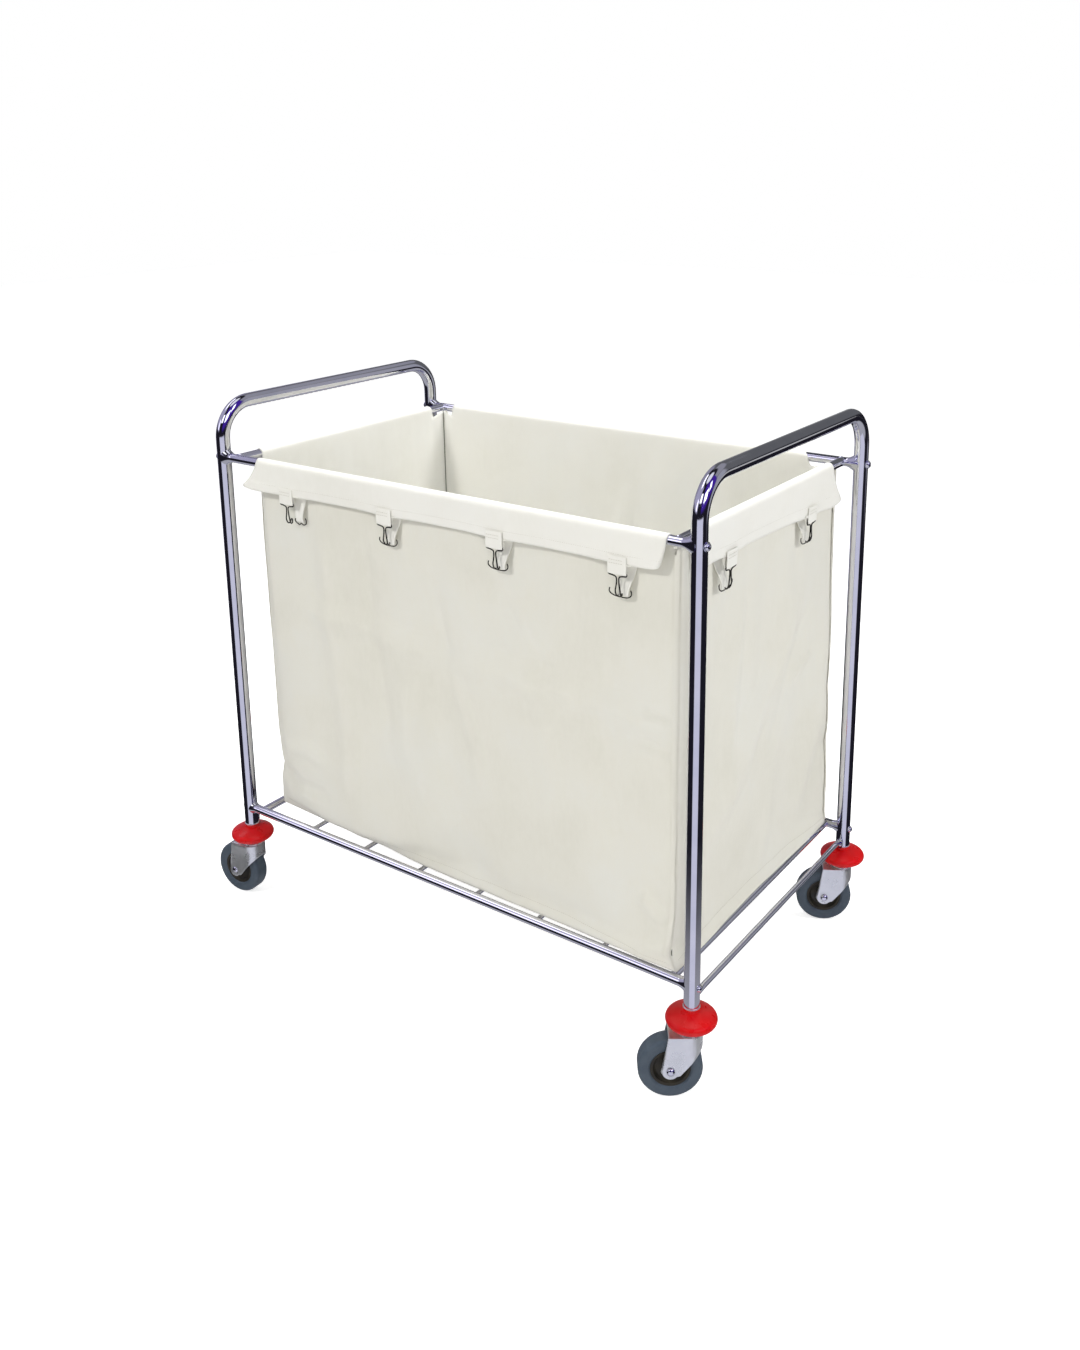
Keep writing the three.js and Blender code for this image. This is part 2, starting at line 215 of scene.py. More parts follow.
# ---- materials ----


class Nodes:
    """A node tree, with short ways to add and join nodes."""

    def __init__(self, tree):
        self.tree = tree

    def node(self, kind, **settings):
        made = self.tree.nodes.new(f"ShaderNode{kind}")
        for name, value in settings.items():
            setattr(made, name, value)
        return made

    def link(self, source, target):
        self.tree.links.new(source, target)

    def coordinates(self, kind="Object"):
        return self.node("TexCoord").outputs[kind]

    def remap(self, value, low, high, to_low, to_high, curve="LINEAR"):
        ranged = self.node("MapRange", interpolation_type=curve)
        for name, number in zip(("From Min", "From Max", "To Min", "To Max"), (low, high, to_low, to_high)):
            ranged.inputs[name].default_value = number
        self.link(value, ranged.inputs["Value"])
        return ranged.outputs["Result"]

    def math(self, operation, *values):
        made = self.node("Math", operation=operation)
        for socket, value in zip(made.inputs, values):
            if isinstance(value, (int, float)):
                socket.default_value = value
            else:
                self.link(value, socket)
        return made.outputs["Value"]

    def ramp(self, value, *stops):
        """A colour ramp through (place, colour) stops."""
        made = self.node("ValToRGB")
        elements = made.color_ramp.elements
        while len(elements) < len(stops):
            elements.new(0.5)
        for element, (place, colour) in zip(elements, stops):
            element.position = place
            element.color = (*colour, 1)
        self.link(value, made.inputs["Fac"])
        return made.outputs["Color"]


class Shader(Nodes):
    """A material round a Principled shader."""

    def __init__(self, name):
        self.material = bpy.data.materials.new(name)
        self.material.use_nodes = True
        super().__init__(self.material.node_tree)
        self.principled = self.tree.nodes["Principled BSDF"]

    def set(self, **values):
        for name, value in values.items():
            self.principled.inputs[name.replace("_", " ")].default_value = value

    def noise(self, scale, detail=4, roughness=0.5, stretch=(1, 1, 1), kind="Object"):
        """Fractal noise over the piece's own coordinates, in cycles a metre."""
        mapping = self.node("Mapping")
        mapping.inputs["Scale"].default_value = stretch
        self.link(self.coordinates(kind), mapping.inputs["Vector"])
        texture = self.node("TexNoise")
        texture.inputs["Scale"].default_value = scale
        texture.inputs["Detail"].default_value = detail
        texture.inputs["Roughness"].default_value = roughness
        self.link(mapping.outputs["Vector"], texture.inputs["Vector"])
        return texture.outputs["Fac"]

    def bump(self, height, distance, strength=1.0, under=None):
        made = self.node("Bump")
        made.inputs["Strength"].default_value = strength
        made.inputs["Distance"].default_value = distance
        self.link(height, made.inputs["Height"])
        if under:
            self.link(under, made.inputs["Normal"])
        return made.outputs["Normal"]

    def drive(self, **sources):
        for name, source in sources.items():
            self.link(source, self.principled.inputs[name.replace("_", " ")])


def chrome():
    """Bright plate with a faint violet-blue cast, the least ripple, and a few dull smudges."""
    shader = Shader("bright_chrome")
    shader.set(Metallic=1.0)
    smudge = shader.noise(22, detail=3)
    shader.drive(
        Base_Color=shader.ramp(smudge, (0.3, (0.72, 0.73, 0.79)), (0.7, (0.80, 0.80, 0.85))),
        Roughness=shader.remap(smudge, 0.35, 0.75, 0.045, 0.13),
        Normal=shader.bump(shader.noise(9, detail=1), 0.4 * MM, 0.12),
    )
    return shader.material


def plated_steel():
    """Zinc-plated pressed steel: satin, a little cloudy, with a fine rolled grain."""
    shader = Shader("zinc_plated_steel")
    shader.set(Metallic=0.85)
    cloud = shader.noise(40, detail=3, roughness=0.5)
    grain = shader.noise(700, detail=2, stretch=(1, 1, 0.08))
    shader.drive(
        Base_Color=shader.ramp(cloud, (0.3, (0.74, 0.76, 0.75)), (0.7, (0.86, 0.88, 0.87))),
        Roughness=shader.remap(cloud, 0.3, 0.7, 0.24, 0.34),
        Normal=shader.bump(grain, 0.05 * MM, 0.4),
    )
    return shader.material


def hook_wire():
    """Nickel-plated spring wire, slightly tarnished."""
    shader = Shader("nickel_wire")
    shader.set(Metallic=1.0)
    tarnish = shader.noise(90, detail=4)
    shader.drive(
        Base_Color=shader.ramp(tarnish, (0.35, (0.020, 0.019, 0.016)), (0.7, (0.10, 0.096, 0.085))),
        Roughness=shader.remap(tarnish, 0.3, 0.7, 0.22, 0.4),
    )
    return shader.material


def red_plastic():
    """Moulded red plastic, glossy with a fine flow texture and small scuffs."""
    shader = Shader("red_moulding")
    shader.set(IOR=1.42)
    flow = shader.noise(14, detail=3)
    scuffs = shader.noise(45, detail=3, roughness=0.5)
    shader.drive(
        Base_Color=shader.ramp(flow, (0.3, (0.56, 0.002, 0.003)), (0.7, (0.70, 0.003, 0.004))),
        Roughness=shader.remap(scuffs, 0.35, 0.75, 0.26, 0.36),
        Normal=shader.bump(scuffs, 0.05 * MM, 0.10),
    )
    return shader.material


def tyre_rubber():
    """Smooth blue-grey rubber with a satin bloom and faint dust."""
    shader = Shader("blue_grey_rubber")
    shader.set(IOR=1.5)
    bloom = shader.noise(35, detail=5, roughness=0.6)
    grain = shader.noise(900, detail=2)
    shader.drive(
        Base_Color=shader.ramp(bloom, (0.3, (0.055, 0.078, 0.105)), (0.72, (0.085, 0.112, 0.142))),
        Roughness=shader.remap(bloom, 0.3, 0.7, 0.42, 0.6),
        Normal=shader.bump(grain, 0.05 * MM, 0.5),
    )
    return shader.material


def hub_plastic():
    """Dark olive-brown moulded plastic with a dry surface."""
    shader = Shader("dark_wheel_centre")
    cloud = shader.noise(70, detail=4)
    shader.drive(
        Base_Color=shader.ramp(cloud, (0.3, (0.016, 0.014, 0.009)), (0.75, (0.042, 0.036, 0.022))),
        Roughness=shader.remap(cloud, 0.3, 0.7, 0.5, 0.72),
        Normal=shader.bump(shader.noise(500, detail=2), 0.05 * MM, 0.4),
    )
    return shader.material


# ---- frame ----


def end_frames(material):
    """Each end: one bent tube, up a leg, over the handle and down the other leg."""
    bend_y = LEG_Y - HANDLE_BEND_R
    bend_z = HANDLE_TOP_Z - LEG_R - HANDLE_BEND_R
    bend_steps = 20
    for end in ("left", "right"):
        x = LEGS[f"front_{end}"].x
        path = [Vector((x, -LEG_Y, FOOT_Z))]
        for side in (-1, 1):
            for step in range(bend_steps + 1):
                angle = math.pi / 2 * (step / bend_steps + (side > 0))
                y = side * bend_y - HANDLE_BEND_R * math.cos(angle)
                path.append(Vector((x, y, bend_z + HANDLE_BEND_R * math.sin(angle))))
        path.append(Vector((x, LEG_Y, FOOT_Z)))
        node = f"{end}_end_frame"
        dress(round_wire(f"{node}_tube", path, LEG_R, sides=48), material, nodes=[node])


def saddle_rail(node, saddle_r, saddle_length, material):
    """A long round rail whose ends flare into saddles that hug the legs."""
    centre = middle(node)
    half = LEGS["front_right"].x - CENTRE_X
    sides = 48
    start = half - LEG_R - saddle_length
    points = []
    stations = 10
    for end in (-1, 1):
        order = range(stations + 1)
        for station in order if end > 0 else reversed(order):
            t = station / stations
            radius = RAIL_R + (saddle_r - RAIL_R) * t**1.7
            for side in range(sides):
                turn = 2 * math.pi * side / sides
                y, z = radius * math.cos(turn), radius * math.sin(turn)
                seat = half - math.sqrt(max(LEG_R**2 - y * y, 0)) + 0.1 * MM
                x = start + (seat - start) * t
                points.append(Vector((centre.x + end * x, centre.y + y, centre.z + z)))
    faces = grid_faces(2 * (stations + 1), sides, wrap=True)
    dress(mesh_piece(f"{node}_tube", points, faces), material, nodes=[node])


def cross_rails(material):
    """The welded cross members: they run into the long rails' sides."""
    top = [("left_top_rail", RAIL_R), ("right_top_rail", RAIL_R)]
    ends = [("deck_end_tube_1", DECK_END_R), ("deck_end_tube_8", DECK_END_R)]
    rods = [(f"deck_rod_{row}", DECK_ROD_R) for row in range(2, 8)]
    reach = LEG_Y - 0.4 * RAIL_R
    for node, radius in top + ends + rods:
        centre = middle(node)
        path = [centre + Vector((0, y, 0)) for y in (-reach, reach)]
        tube = round_wire(f"{node}_bar", path, radius, sides=32)
        dress(tube, material, nodes=[node])
        for side in (-1, 1):
            weld_bead(f"{node}_weld_{'front' if side < 0 else 'back'}", centre, side, radius, material)


def weld_bead(name, centre, side, radius, material):
    """A small chromed bead round the joint of a cross member and a long rail."""
    sides = 40
    path = []
    for step in range(sides):
        turn = 2 * math.pi * step / sides
        x, z = radius * math.cos(turn), radius * math.sin(turn)
        depth = math.sqrt(max(RAIL_R**2 - z * z, 0))
        path.append(Vector((centre.x + x, side * (LEG_Y - depth), centre.z + z)))
    dress(round_wire(name, path, 0.9 * MM, closed=True, sides=8), material)


def tie_rails(material):
    """The low ties: a rod whose flattened ends turn down against the legs and take a screw."""
    tab_width, tab_length, tab_thick = 12 * MM, 16 * MM, 2.5 * MM
    for end in ("left", "right"):
        node = f"{end}_tie_rail"
        low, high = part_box(node)
        x, z = (low.x + high.x) / 2, high.z - TIE_R
        inner = LEG_Y - LEG_R
        rounds = 8
        stations = []
        for y, wide, tall, drop in (
            (inner - 26 * MM, TIE_R, TIE_R, 0),
            (inner - 20 * MM, TIE_R * 1.02, TIE_R * 0.92, 0),
            (inner - 12 * MM, TIE_R * 1.12, TIE_R * 0.55, -0.4 * MM),
            (inner - 6 * MM, TIE_R * 1.18, TIE_R * 0.30, -0.6 * MM),
            (inner - 2.6 * MM, TIE_R * 1.2, TIE_R * 0.26, -1.0 * MM),
        ):
            stations.append((y, wide, tall, drop))
        mirrored = [(-y, wide, tall, drop) for y, wide, tall, drop in reversed(stations)]
        points = []
        sides = 4 * rounds
        for y, wide, tall, drop in mirrored + stations:
            for side in range(sides):
                turn = 2 * math.pi * side / sides
                points.append(Vector((x + wide * math.cos(turn), y, z + drop + tall * math.sin(turn))))
        faces = grid_faces(len(mirrored + stations), sides, wrap=True)
        rod = mesh_piece(f"{node}_rod", points, faces)
        dress(rod, material, nodes=[node])
        for side, edge in ((-1, "front"), (1, "back")):
            tab = tie_tab(f"{node}_{edge}_tab", x, side, z, tab_width, tab_length, tab_thick)
            dress(tab, material)
            head = screw_head(f"{node}_{edge}_screw", 4.2 * MM, 2.2 * MM)
            turn_about_x = Matrix.Rotation(math.radians(90 * side), 4, "X")
            face = Vector((x, side * (inner - tab_thick), z - 7.5 * MM))
            head.data.transform(Matrix.Translation(face) @ turn_about_x)
            dress(head, material)


def tie_tab(name, x, side, z, width, length, thick):
    """The flattened end: a round-ended lug lying against the leg's inner face."""
    top = z + 0.6 * MM
    half = width / 2
    outline = [(-half, top), (half, top)]
    low = top - length + half
    for step in range(13):
        angle = math.pi * step / 12
        outline.append((half * math.cos(angle), low - half * math.sin(angle)))
    inner = side * (LEG_Y - LEG_R)
    count = len(outline)
    points = [Vector((x + u, inner - side * depth, w)) for depth in (0.1 * MM, thick) for u, w in outline]
    faces = [tuple(range(count)), tuple(range(count, 2 * count))]
    faces += [(i, (i + 1) % count, (i + 1) % count + count, i + count) for i in range(count)]
    piece = mesh_piece(name, points, faces)
    bevelled(piece, 0.6 * MM)
    return piece


def bevelled(piece, width, segments=3):
    bevel = piece.modifiers.new("rounded_edges", "BEVEL")
    bevel.width = width
    bevel.segments = segments
    bevel.limit_method = "ANGLE"
    bevel.angle_limit = math.radians(35)
    return piece


def dome_profile(radius, height, skirt, rings=8):
    """A domed head sitting on z = 0, from its rim to its top."""
    dome = [
        (radius * math.cos(math.pi / 2 * i / rings), skirt + height * math.sin(math.pi / 2 * i / rings))
        for i in range(rings)
    ]
    return [(0.01 * MM, 0), (radius, 0), *dome, (0.01 * MM, skirt + height)]


def screw_head(name, radius, height):
    return revolved(name, dome_profile(radius, height, 0.5 * MM), sides=32)


def rail_bolts(material):
    """Domed bolt heads on washers, outside each leg at the top rail and at the deck rail."""
    for corner in CORNERS:
        leg = LEGS[corner]
        out = 1 if leg.x > CENTRE_X else -1
        tilt = Matrix.Rotation(math.radians(90 * out), 4, "Y")
        for level, z, size in (("top", TOP_RAIL_Z, 1.0), ("deck", DECK_Z, 0.8)):
            face = Vector((leg.x + out * (LEG_R - 0.4 * MM), leg.y, z))
            place = Matrix.Translation(face) @ tilt
            washer = [(0.01 * MM, 0), (7.4 * MM * size, 0), (7.4 * MM * size, 1.2 * MM)]
            rim = len(washer)
            head = dome_profile(6.2 * MM * size, 3.8 * MM * size, 0.4 * MM)[1:]
            profile = washer + [(radius, height + 1.3 * MM) for radius, height in head]
            assert rim < len(profile)
            bolt = revolved(f"{corner}_{level}_bolt_head", profile, sides=40, place=place)
            nodes = [f"{corner}_rail_bolt"] if level == "top" else []
            dress(bolt, material, nodes=nodes)


# ---- casters ----

WHEEL_R = 50 * MM
HUB_R = 31 * MM
TYRE_HALF = 15 * MM
FORK_HALF = 21 * MM
FORK_PLATE = 2.5 * MM
FORK_CROWN_Z = 108.5 * MM
FORK_FRONT = -18 * MM
FORK_FOOT_R = 13 * MM


def arc_points(centre_r, centre_h, radius, start, stop, steps=8):
    """Profile points round an arc, its angles in degrees from the radius's own direction."""
    angles = [math.radians(start + (stop - start) * i / steps) for i in range(steps + 1)]
    return [(centre_r + radius * math.cos(a), centre_h + radius * math.sin(a)) for a in angles]


def bumper(corner, material):
    """A thick lens of moulded plastic round the leg's foot, with a short neck."""
    rim_z, rim_r, edge = 130 * MM, 40 * MM, 8 * MM
    profile = [(6.6 * MM, 119 * MM), (24 * MM, 119 * MM), (29 * MM, 121 * MM)]
    profile += arc_points(rim_r - edge, rim_z, edge, -75, 75, steps=12)
    profile += [(30 * MM, 139.6 * MM), (25 * MM, 141.4 * MM), (20 * MM, 142.8 * MM), (15.5 * MM, 143.8 * MM)]
    profile += [(13.2 * MM, 144.6 * MM), (12.4 * MM, 146 * MM), (12.2 * MM, FOOT_Z - 0.4 * MM)]
    profile += [(6.6 * MM, FOOT_Z - 0.4 * MM), (6.6 * MM, 119 * MM)]
    place = Matrix.Translation((LEGS[corner].x, LEGS[corner].y, 0))
    node = f"{corner}_bumper"
    dress(revolved(f"{node}_disc", profile, 96, place), material, nodes=[node])


def kingpin(corner, material):
    """The swivel race under the bumper, the pin through it, and the plug's lip at the leg's foot."""
    race = [(0.01 * MM, 101 * MM), (9 * MM, 101 * MM), (10 * MM, 102 * MM), (10 * MM, 105.6 * MM)]
    race += [(6 * MM, 105.7 * MM), (6 * MM, 108.8 * MM), (19 * MM, 108.9 * MM)]
    race += arc_points(18.5 * MM, 111 * MM, 1.8 * MM, -80, 80, steps=6)
    race += [(17.4 * MM, 113.2 * MM), (17 * MM, 117.6 * MM), (6 * MM, 117.7 * MM)]
    race += [(6 * MM, FOOT_Z + 4 * MM), (10.4 * MM, FOOT_Z + 5 * MM)]
    race += [(10.4 * MM, FOOT_Z + 52 * MM), (0.01 * MM, FOOT_Z + 52 * MM)]
    place = Matrix.Translation((LEGS[corner].x, LEGS[corner].y, 0))
    node = f"{corner}_kingpin"
    dress(revolved(f"{node}_race", race, 64, place), material, nodes=[node])
    lip = [(10 * MM, -0.2 * MM), (13.1 * MM, -0.2 * MM), (13.5 * MM, 0.5 * MM)]
    lip += [(13.5 * MM, 1.7 * MM), (12.7 * MM, 2.4 * MM), (10 * MM, 2.4 * MM), (10 * MM, -0.2 * MM)]
    foot = Matrix.Translation((LEGS[corner].x, LEGS[corner].y, FOOT_Z))
    dress(revolved(f"{node}_lip", lip, 64, foot), material)


def fork_plan():
    """The fork's outline from above: along one cheek, round the nose and back along the other.
    Each point is its distance along the trail and across it."""
    back, nose = 45 * MM, FORK_FRONT + FORK_HALF
    cheek = [back, 44 * MM, 42 * MM, 39 * MM, 36 * MM, 32 * MM, 27 * MM, 22 * MM, 17 * MM, 12 * MM, 7 * MM]
    plan = [(x, FORK_HALF) for x in cheek]
    for step in range(25):
        angle = math.pi * step / 24
        plan.append((nose - FORK_HALF * math.sin(angle), FORK_HALF * math.cos(angle)))
    return plan + [(x, -FORK_HALF) for x in reversed(cheek)]


def fork_heights(x):
    """The lowest and the highest point of the pressed steel at a distance along the trail."""
    trail, foot = 32 * MM, FORK_FOOT_R
    bow_x, bow_z = 19.5 * MM, 40 * MM
    if x >= bow_x:
        low = WHEEL_R - math.sqrt(max(foot**2 - (x - trail) ** 2, 0))
    else:
        low = bow_z + (bow_x - x) * 1.22
    heel = 36 * MM
    high = FORK_CROWN_Z if x <= heel else FORK_CROWN_Z - (x - heel) * (FORK_CROWN_Z - WHEEL_R) / (9 * MM)
    return low, max(high, low)


def fork(corner, heading, material):
    """One steel pressing: a U in plan, open behind, its cheeks tapering down to the axle."""
    plan = fork_plan()
    rows = 10
    points = []
    for row in range(rows + 1):
        share = row / rows
        for x, y in plan:
            low, high = fork_heights(x)
            z = low + (high - low) * share
            tuck = 0.9 * MM * math.sin(math.pi * share) * (1 if abs(y) > 0.9 * FORK_HALF else 0)
            points.append(Vector((x, y * (1 - tuck / FORK_HALF), z)))
    columns = len(plan)
    faces = grid_faces(rows + 1, columns)
    node = f"{corner}_fork"
    place = Matrix.Translation((LEGS[corner].x, LEGS[corner].y, 0)) @ Matrix.Rotation(heading, 4, "Z")
    piece = mesh_piece(f"{node}_pressing", [place @ p for p in points], faces)
    shell = piece.modifiers.new("plate", "SOLIDIFY")
    shell.thickness = FORK_PLATE
    shell.offset = -1
    bevelled(piece, 0.7 * MM)
    dress(piece, material, f"{corner}_swivel", [node])
    crown = crown_plate(f"{node}_crown", plan, place)
    dress(crown, material, f"{corner}_swivel")


def crown_plate(name, plan, place):
    """The flat top of the fork, with a rolled edge, and a hole for the kingpin."""
    outline = [(x, y) for x, y in plan if x <= 36 * MM]
    count = len(outline)
    hole = 8 * MM
    ring = [(hole * math.cos(2 * math.pi * i / count), hole * math.sin(2 * math.pi * i / count)) for i in range(count)]
    ring = sorted(ring, key=lambda p: math.atan2(p[1], p[0]))
    outline = sorted(outline, key=lambda p: math.atan2(p[1], p[0]))
    top, bottom = FORK_CROWN_Z + 0.2 * MM, FORK_CROWN_Z - FORK_PLATE
    points = [Vector((x, y, z)) for z in (bottom, top) for loop in (ring, outline) for x, y in loop]
    faces = []
    for i in range(count):
        j = (i + 1) % count
        inner_low, outer_low, inner_high, outer_high = 0, count, 2 * count, 3 * count
        faces.append((inner_low + i, outer_low + i, outer_low + j, inner_low + j))
        faces.append((inner_high + i, inner_high + j, outer_high + j, outer_high + i))
        faces.append((outer_low + i, outer_high + i, outer_high + j, outer_low + j))
        faces.append((inner_low + i, inner_low + j, inner_high + j, inner_high + i))
    return bevelled(mesh_piece(name, [place @ p for p in points], faces), 0.8 * MM)


def axle_place(corner, heading):
    """From an axis along Z to the wheel's axle, its +Z on the trolley's side of the swivel."""
    centre = middle(f"{corner}_hub")
    return Matrix.Translation(centre) @ Matrix.Rotation(heading, 4, "Z") @ Matrix.Rotation(math.radians(-90), 4, "X")


def axle(corner, heading, material):
    """The axle bolt: a domed head on one cheek, a hexagon nut on the other."""
    place = axle_place(corner, heading)
    face = FORK_HALF + 0.2 * MM
    node = f"{corner}_axle"
    shaft = [(0.01 * MM, -face), (4.5 * MM, -face), (4.5 * MM, face), (0.01 * MM, face)]
    dress(revolved(f"{node}_shaft", shaft, 32, place), material, f"{corner}_swivel", [node])
    head = [(radius, face + height) for radius, height in dome_profile(6.6 * MM, 3.6 * MM, 0.6 * MM)]
    dress(revolved(f"{node}_head", head, 40, place), material, f"{corner}_swivel")
    nut = [(radius, -face - height) for radius, height in dome_profile(6.4 * MM, 0.6 * MM, 3.0 * MM)]
    dress(revolved(f"{node}_nut", nut, 6, place), material, f"{corner}_swivel")


def wheel(corner, heading, rubber, plastic):
    """A solid tyre with rounded shoulders on a dished, ribbed wheel centre."""
    place = axle_place(corner, heading)
    inner, shoulder = HUB_R + 0.2 * MM, 6 * MM
    corner_r, corner_h = WHEEL_R - shoulder, TYRE_HALF - shoulder
    face = [(inner, TYRE_HALF - 2.4 * MM), (inner + 1.5 * MM, TYRE_HALF - 0.8 * MM)]
    face += [(inner + 4 * MM, TYRE_HALF - 0.2 * MM), (corner_r - 3 * MM, TYRE_HALF)]
    over = face + arc_points(corner_r, corner_h, shoulder, 90, 0, steps=10)
    under = [(radius, -height) for radius, height in reversed(over)]
    node = f"{corner}_tyre"
    tyre = revolved(f"{node}_rubber", [*over, *under, over[0]], 128, place)
    dress(tyre, rubber, f"{corner}_wheel", [node])
    rim = TYRE_HALF - 2.2 * MM
    half = [(5.2 * MM, 17 * MM), (10 * MM, 17 * MM), (10.8 * MM, 16.2 * MM), (11.4 * MM, rim - 4.5 * MM)]
    half += [(12.6 * MM, rim - 5.6 * MM), (HUB_R - 8 * MM, rim - 5.6 * MM), (HUB_R - 6.4 * MM, rim - 4.4 * MM)]
    half += [(HUB_R - 4.4 * MM, rim - 0.5 * MM), (HUB_R - 3.4 * MM, rim), (HUB_R, rim)]
    back = [(radius, -height) for radius, height in reversed(half)]
    node = f"{corner}_hub"
    hub = revolved(f"{node}_centre", [*half, *back, half[0]], 96, place)
    dress(hub, plastic, f"{corner}_wheel", [node])


def casters(steel, bright, red, rubber, plastic):
    for corner in CORNERS:
        trail = middle(f"{corner}_hub") - LEGS[corner]
        heading = math.atan2(trail.y, trail.x)
        bumper(corner, red)
        kingpin(corner, steel)
        fork(corner, heading, steel)
        axle(corner, heading, bright)
        wheel(corner, heading, rubber, plastic)


# ---- the canvas bag ----

DRAPE_R = RAIL_R + 1 * MM  # the canvas's middle, where it turns over a rail
WALL_X = middle("right_top_rail").x - CENTRE_X - DRAPE_R
WALL_Y = LEG_Y - DRAPE_R
WALL_TOP_Z = 862 * MM
HEM_Z = DECK_Z + RAIL_R + 1.2 * MM
CELL = 12 * MM
ARC_STEPS = 8
HEM = 15 * MM
CORNER_CELLS = 3
FLAP_TUCK = 6 * MM  # how far the flaps hang in towards the walls between their hooks
HOOK_SPREAD = 48 * MM

# Where the walls meet, from the trolley's centre: just below the rails, and at the hem.
TOP_CORNERS = {
    "front_left": (-415 * MM, -262 * MM, 866 * MM),
    "front_right": (455 * MM, -271 * MM, 866 * MM),
    "back_right": (448 * MM, 270 * MM, 875 * MM),
    "back_left": (-441 * MM, 268 * MM, 875 * MM),
}
HEM_CORNERS = {
    "front_left": (-434 * MM, -248 * MM),
    "front_right": (458 * MM, -282 * MM),
    "back_right": (457 * MM, 270 * MM),
    "back_left": (-431 * MM, 261 * MM),
}

# The bag's four sides, seen from above and anticlockwise, each going on from the last. Along each:
# the ends of the flap where it leaves the wall, on the crest of the rail and at its lower edge, how
# far that edge is below the rail at each end, how far it flares out there, how far the hem stands
# out from a straight line (mm, at even steps), and how far the middle of the wall does.
SIDES = {
    "front": {
        "corners": ("front_left", "front_right"),
        "outward": Vector((0, -1, 0)),
        "leave": (-400 * MM, 440 * MM),
        "crest": (-394 * MM, 440 * MM),
        "edge": (-424 * MM, 427 * MM),
        "rounded": (6 * MM, 3 * MM),
        "drop": (47 * MM, 46 * MM),
        "flare": (9 * MM, 3 * MM),
        "hem": (0, 1, 1, 2, 9, 9, 7, 5, 4, 1, 0),
        "belly": 5 * MM,
    },
    "right": {
        "corners": ("front_right", "back_right"),
        "outward": Vector((1, 0, 0)),
        "leave": (-236 * MM, 226 * MM),
        "crest": (-232 * MM, 226 * MM),
        "edge": (-226 * MM, 243 * MM),
        "rounded": (3 * MM, 9 * MM),
        "drop": (52 * MM, 67 * MM),
        "flare": (5 * MM, 10 * MM),
        "hem": (0, 1, -2, -3, -1, 1, 0),
        "belly": 11 * MM,
    },
    "back": {
        "corners": ("back_right", "back_left"),
        "outward": Vector((0, 1, 0)),
        "leave": (-396 * MM, 420 * MM),
        "crest": (-382 * MM, 416 * MM),
        "edge": (-396 * MM, 423 * MM),
        "rounded": (14 * MM, 5 * MM),
        "drop": (46 * MM, 47 * MM),
        "flare": (6 * MM, 7 * MM),
        "hem": (0, -4, -8, -5, -1, -3, -8, -10, -7, -3, 0),
        "belly": 8 * MM,
    },
    "left": {
        "corners": ("back_left", "front_left"),
        "outward": Vector((-1, 0, 0)),
        "leave": (-236 * MM, 232 * MM),
        "crest": (-232 * MM, 230 * MM),
        "edge": (-228 * MM, 224 * MM),
        "rounded": (10 * MM, 6 * MM),
        "drop": (56 * MM, 58 * MM),
        "flare": (7 * MM, 6 * MM),
        "hem": (0, 2, -2, -4, -3, -1, 0),
        "belly": 9 * MM,
    },
}


def blend(a, b, share):
    return a + (b - a) * share


def smoothstep(share):
    share = min(max(share, 0), 1)
    return share * share * (3 - 2 * share)


def along_curve(values, share):
    """A smooth value from a list of values at even steps."""
    place = min(max(share, 0), 1) * (len(values) - 1)
    step = min(int(place), len(values) - 2)
    return blend(values[step], values[step + 1], smoothstep(place - step))


